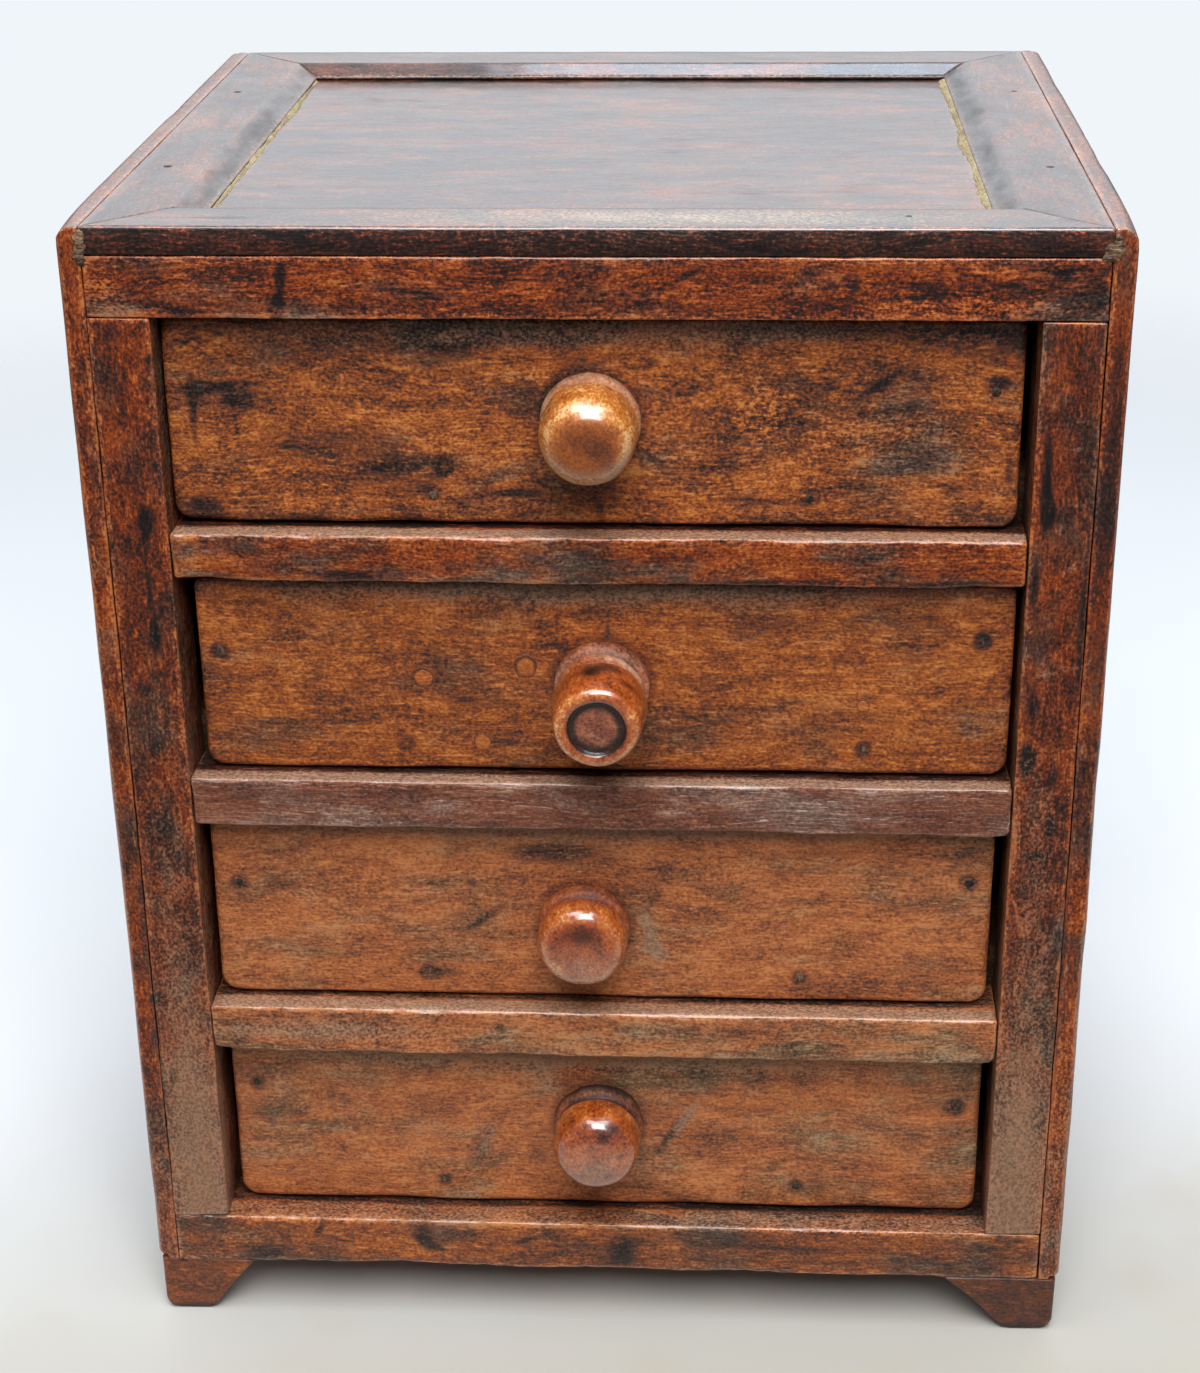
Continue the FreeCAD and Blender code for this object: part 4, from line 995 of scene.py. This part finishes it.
# Nails of each drawer's front: heights of the two at its ends, places of the two below, strength of the stain
NAIL_LEVELS = {1: (34, 34), 2: (32, 37), 3: (33, 36), 4: (37.5, 34)}
NAIL_PLACES = {1: (39.5, 51.5), 2: (49, 66.5), 3: (46, 52), 4: (44.5, 52.5)}
NAIL_STAINS = {1: 0.4, 2: 0.85, 3: 0.85, 4: 0.85}
# Radius and half width of the stain around a nail, and radius, half width and strength of a knob's
NAIL_RING = (1.4, 1.6)
KNOB_RING = (12.6, 2.0, 0.6)
# Plugs of the second drawer's front, as (across, up, radius)
PLUGS = ((-43.9, 193.5, 2.85), (-18.1, 196.9, 3.0), (-29.5, 175.8, 2.75), (66.2, 187.1, 1.8))


def drawer_nails(k):
    """Where the nails of a drawer are, and the directions they are driven in."""
    front_low, _ = ends(f"drawer_{k}_front")
    side_low, side_high = ends(f"drawer_{k}_right_side")
    bottom_low, bottom_high = ends(f"drawer_{k}_bottom")
    back_low, back_high = ends(f"drawer_{k}_back")
    from_side, back_levels = 4.5, (14, 36)
    nails = []
    for index, hand in enumerate((-1, 1)):
        end_place = (hand * (side_high[0] - from_side), front_low[1], front_low[2] + NAIL_LEVELS[k][index])
        bottom_place = (hand * NAIL_PLACES[k][index], front_low[1], (bottom_low[2] + bottom_high[2]) / 2)
        nails += [(end_place, (0, 1, 0)), (bottom_place, (0, 1, 0))]
        for level in back_levels:
            back_place = (hand * side_high[0], (back_low[1] + back_high[1]) / 2, side_low[2] + level)
            nails.append((back_place, (-hand, 0, 0)))
    return nails


def plugs(name, body, places, face, material, seed):
    """Round wooden plugs level with a drawer's front, each in a dark ring of dirt."""
    sides = 28
    section = ((0.01, 0.0), (0.35, 0.0), (0.65, 0.0), (0.78, 0.05), (0.86, 0.2), (0.94, 0.06), (1.02, 0.12),
               (1.05, 1.5))
    ring_stain = (0.0, 0.0, 0.1, 0.6, 1.1, 0.9, 0.5, 0.4)
    rng = np.random.default_rng(seed)
    points, faces, stain = [], [], []
    start = 0
    for x, z, radius in places:
        angles = np.linspace(0, 2 * math.pi, sides, endpoint=False)
        uneven = radius * (1 + 0.05 * np.sin(2 * angles + rng.uniform(0, 6)) + 0.03 * np.sin(5 * angles))
        for (share, depth), dark in zip(section, ring_stain):
            points.append(np.stack([x + share * uneven * np.cos(angles), np.full(sides, face - 0.05 + depth),
                                    z + share * uneven * np.sin(angles)], -1))
            stain.append(np.full(sides, dark))
        faces += tube(len(section), sides, start)
        start += len(section) * sides
    stain = np.concatenate(stain)
    make_piece(name, np.concatenate(points), faces, material, "drawer_wood", body, [], stain=stain)


for k in (1, 2, 3, 4):
    body = f"drawer_{k}"
    nails = drawer_nails(k)
    marks = dict(FRONT_MARKS[k])
    marks["ring"] = list(marks.get("ring", ()))
    marks["ring"] += [(spot[0], spot[2], *NAIL_RING, NAIL_STAINS[k]) for spot, drive in nails if drive[1]]
    knob_low, knob_high = ends(f"{body}_knob")
    knob_middle = (knob_low + knob_high) / 2
    marks["ring"].append((knob_middle[0], knob_middle[2], *KNOB_RING))
    drawer_front(k, front_wood[k], marks, 130 + k)
    turned(k, KNOB_PROFILES[k], knob_wood[k], KNOB_MARKS[k], 170 + k)
    nail_group(f"{body}_nails", body, nails, 180 + k)
    for part, wood in (("left_side", inner_wood), ("right_side", inner_wood), ("back", inner_wood_x),
                       ("bottom", inner_wood_x)):
        board(f"{body}_{part}", *ends(f"{body}_{part}"), wood, "inner_wood", body, 190 + k,
              step=5.0, ease=0.5, dip=0.1)
plugs("drawer_2_plugs", "drawer_2", PLUGS, ends("drawer_2_front")[0][1], plug_wood, 61)


def case_nails():
    """Nails down through the top, and through the sides into the rails and the back."""
    from_side, side_places = 8, (62, 157)
    front_across, front_behind = 73, 11
    from_end = 30
    nails = []
    top = ends("top_frame_front")[1][2]
    for hand in (-1, 1):
        for behind in side_places:
            nails.append(((hand * (right - from_side), front + behind, top), (0, 0, -1)))
        outside = ends("right_side")[1][0] * hand
        for level in ((face_low[2] + face_high[2]) / 2, (rail_low[2] + rail_high[2]) / 2):
            nails.append(((outside, (face_low[1] + face_high[1]) / 2, level), (-hand, 0, 0)))
        back_low, back_high = ends("back_panel")
        for level in (back_low[2] + from_end, back_high[2] - from_end):
            nails.append(((outside, (back_low[1] + back_high[1]) / 2, level), (-hand, 0, 0)))
    nails.append(((front_across, front + front_behind, top), (0, 0, -1)))
    return nails


nail_group("case_nails", "case", case_nails(), 189)


def finish_cad_nodes():
    """Material for the CAD nodes that stay: the runners."""
    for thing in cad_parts.values():
        if thing.hide_render:
            continue
        thing.data.materials.clear()
        thing.data.materials.append(runner_wood)


finish_cad_nodes()


# Floor, light and camera

def make_floor():
    """Pale floor that darkens towards the front and the right as painted shade, a little dirty in front and
    darker still far in front, that fades into the background at its rim.
    """
    reach, ahead, rim = 0.8, 0.5, 0.4
    steps = 64
    angles = [2 * math.pi * i / steps for i in range(steps)]
    ring = [(reach * math.cos(a), reach * math.sin(a) + reach - ahead, 0) for a in angles]
    mesh = bpy.data.meshes.new("floor")
    mesh.from_pydata(ring, [], [list(range(steps))])
    floor = bpy.data.objects.new("floor", mesh)
    bpy.context.scene.collection.objects.link(floor)
    tree = Surface("floor_paper")
    where = tree.add("ShaderNodeTexCoord").outputs["Object"]
    split = tree.add("ShaderNodeSeparateXYZ", {0: where}).outputs
    blotch = tree.add("ShaderNodeTexNoise", {"Vector": where, "Scale": 16.0, "Detail": 6.0}).outputs["Fac"]
    # Painted shade: the floor darkens towards the front and the right, and the dirt keeps to the same part
    front_shade_and_dirt = tree.ramp(tree.blend(split["Y"], (-0.15, split["X"], 0.0)), 0.08, -0.2)
    colour = tree.mix(front_shade_and_dirt, FLOOR_FAR, FLOOR_SHADED)
    dirt = tree.math("MULTIPLY", tree.ramp(blotch, 0.48, 0.72), front_shade_and_dirt)
    colour = tree.mix(tree.math("MULTIPLY", dirt, 0.5), colour, FLOOR_DIRT)
    colour = tree.mix(tree.ramp(split["Y"], -0.22, -0.5), colour, FLOOR_EDGE)
    inputs = {0: where, 1: (0, reach - ahead, 0)}
    distance = tree.add("ShaderNodeVectorMath", inputs, operation="DISTANCE").outputs["Value"]
    tree.set({"Base Color": colour, "Roughness": 0.6, "Alpha": tree.ramp(distance, reach, reach - rim)})
    mesh.materials.append(tree.material)


def make_world():
    """Pale surroundings: bright above and behind, dim on the viewer's side."""
    world = bpy.data.worlds.new("surroundings")
    bpy.context.scene.world = world
    tree = Tree(world)
    direction = tree.add("ShaderNodeTexCoord").outputs["Generated"]

    def slope(lean, low, high, bottom, top):
        """Smooth step of a direction along a leaning axis."""
        along = tree.add("ShaderNodeVectorMath", {0: direction, 1: lean}, operation="DOT_PRODUCT")
        return tree.ramp(along.outputs["Value"], low, high, bottom, top)

    sky = slope((0.0, 0.5, 0.87), 0.42, 0.9, 0.2, 0.85)
    above, below = slope((0, 0, 1), -0.05, 0.3, 0.0, 0.6), slope((0, 0, 1), 0.6, 0.3, 0.0, 1.0)
    band = tree.math("MULTIPLY", above, below)
    band = tree.math("MULTIPLY", band, slope((0, 1, 0), 0.5, 0.85, 0.0, 1.0))
    strength = tree.math("ADD", sky, band)
    lit = tree.add("ShaderNodeBackground", {"Color": SKY_LIGHT, "Strength": strength})
    seen = tree.add("ShaderNodeBackground", {"Color": SKY_SEEN})
    camera_ray = tree.add("ShaderNodeLightPath").outputs["Is Camera Ray"]
    choose = tree.add("ShaderNodeMixShader", {0: camera_ray, 1: lit.outputs[0], 2: seen.outputs[0]})
    tree.add("ShaderNodeOutputWorld", {"Surface": choose.outputs[0]})


def make_lamp(name, place, aim, width, depth, power, colour=(1, 1, 1)):
    """Oblong soft lamp that looks at a point."""
    data = bpy.data.lights.new(name, "AREA")
    data.shape = "RECTANGLE"
    data.size = width
    data.size_y = depth
    data.energy = power
    data.color = colour
    lamp = bpy.data.objects.new(name, data)
    lamp.location = place
    lamp.rotation_euler = (Vector(aim) - Vector(place)).to_track_quat("-Z", "Y").to_euler()
    bpy.context.scene.collection.objects.link(lamp)


def make_camera():
    """Camera where the photograph was taken from."""
    focal_pixels = 2503.0
    place = Vector((34.6, -663.05, 450.9)) * MM
    yaw, pitch, roll = (math.radians(angle) for angle in (3.43, -24.44, 0.73))
    turn = Matrix.Rotation(yaw, 3, "Z") @ Matrix.Rotation(pitch, 3, "X") @ Matrix.Rotation(roll, 3, "Y")
    upright = Matrix.Rotation(math.pi / 2, 3, "X")
    data = bpy.data.cameras.new("camera")
    data.sensor_width = 36.0
    data.lens = focal_pixels / PHOTO_HEIGHT * data.sensor_width
    data.clip_start = 0.01
    camera = bpy.data.objects.new("camera", data)
    camera.matrix_world = Matrix.Translation(place) @ (turn @ upright).to_4x4()
    bpy.context.scene.collection.objects.link(camera)
    bpy.context.scene.camera = camera


make_floor()
make_world()
make_lamp("overhead", (0, -0.3, 1.25), (0, -0.05, 0.2), 1.1, 0.5, 8.0, (0.86, 0.94, 1.0))
make_lamp("behind", (0.05, 0.7, 1.35), (0, 0.1, 0.3), 0.4, 0.3, 2.0, (0.7, 0.85, 1.0))
make_lamp("front", (0.1, -0.95, 1.25), (0, -0.1, 0.15), 0.8, 0.8, 20.0)
make_camera()
bpy.context.scene.view_settings.view_transform = "Standard"
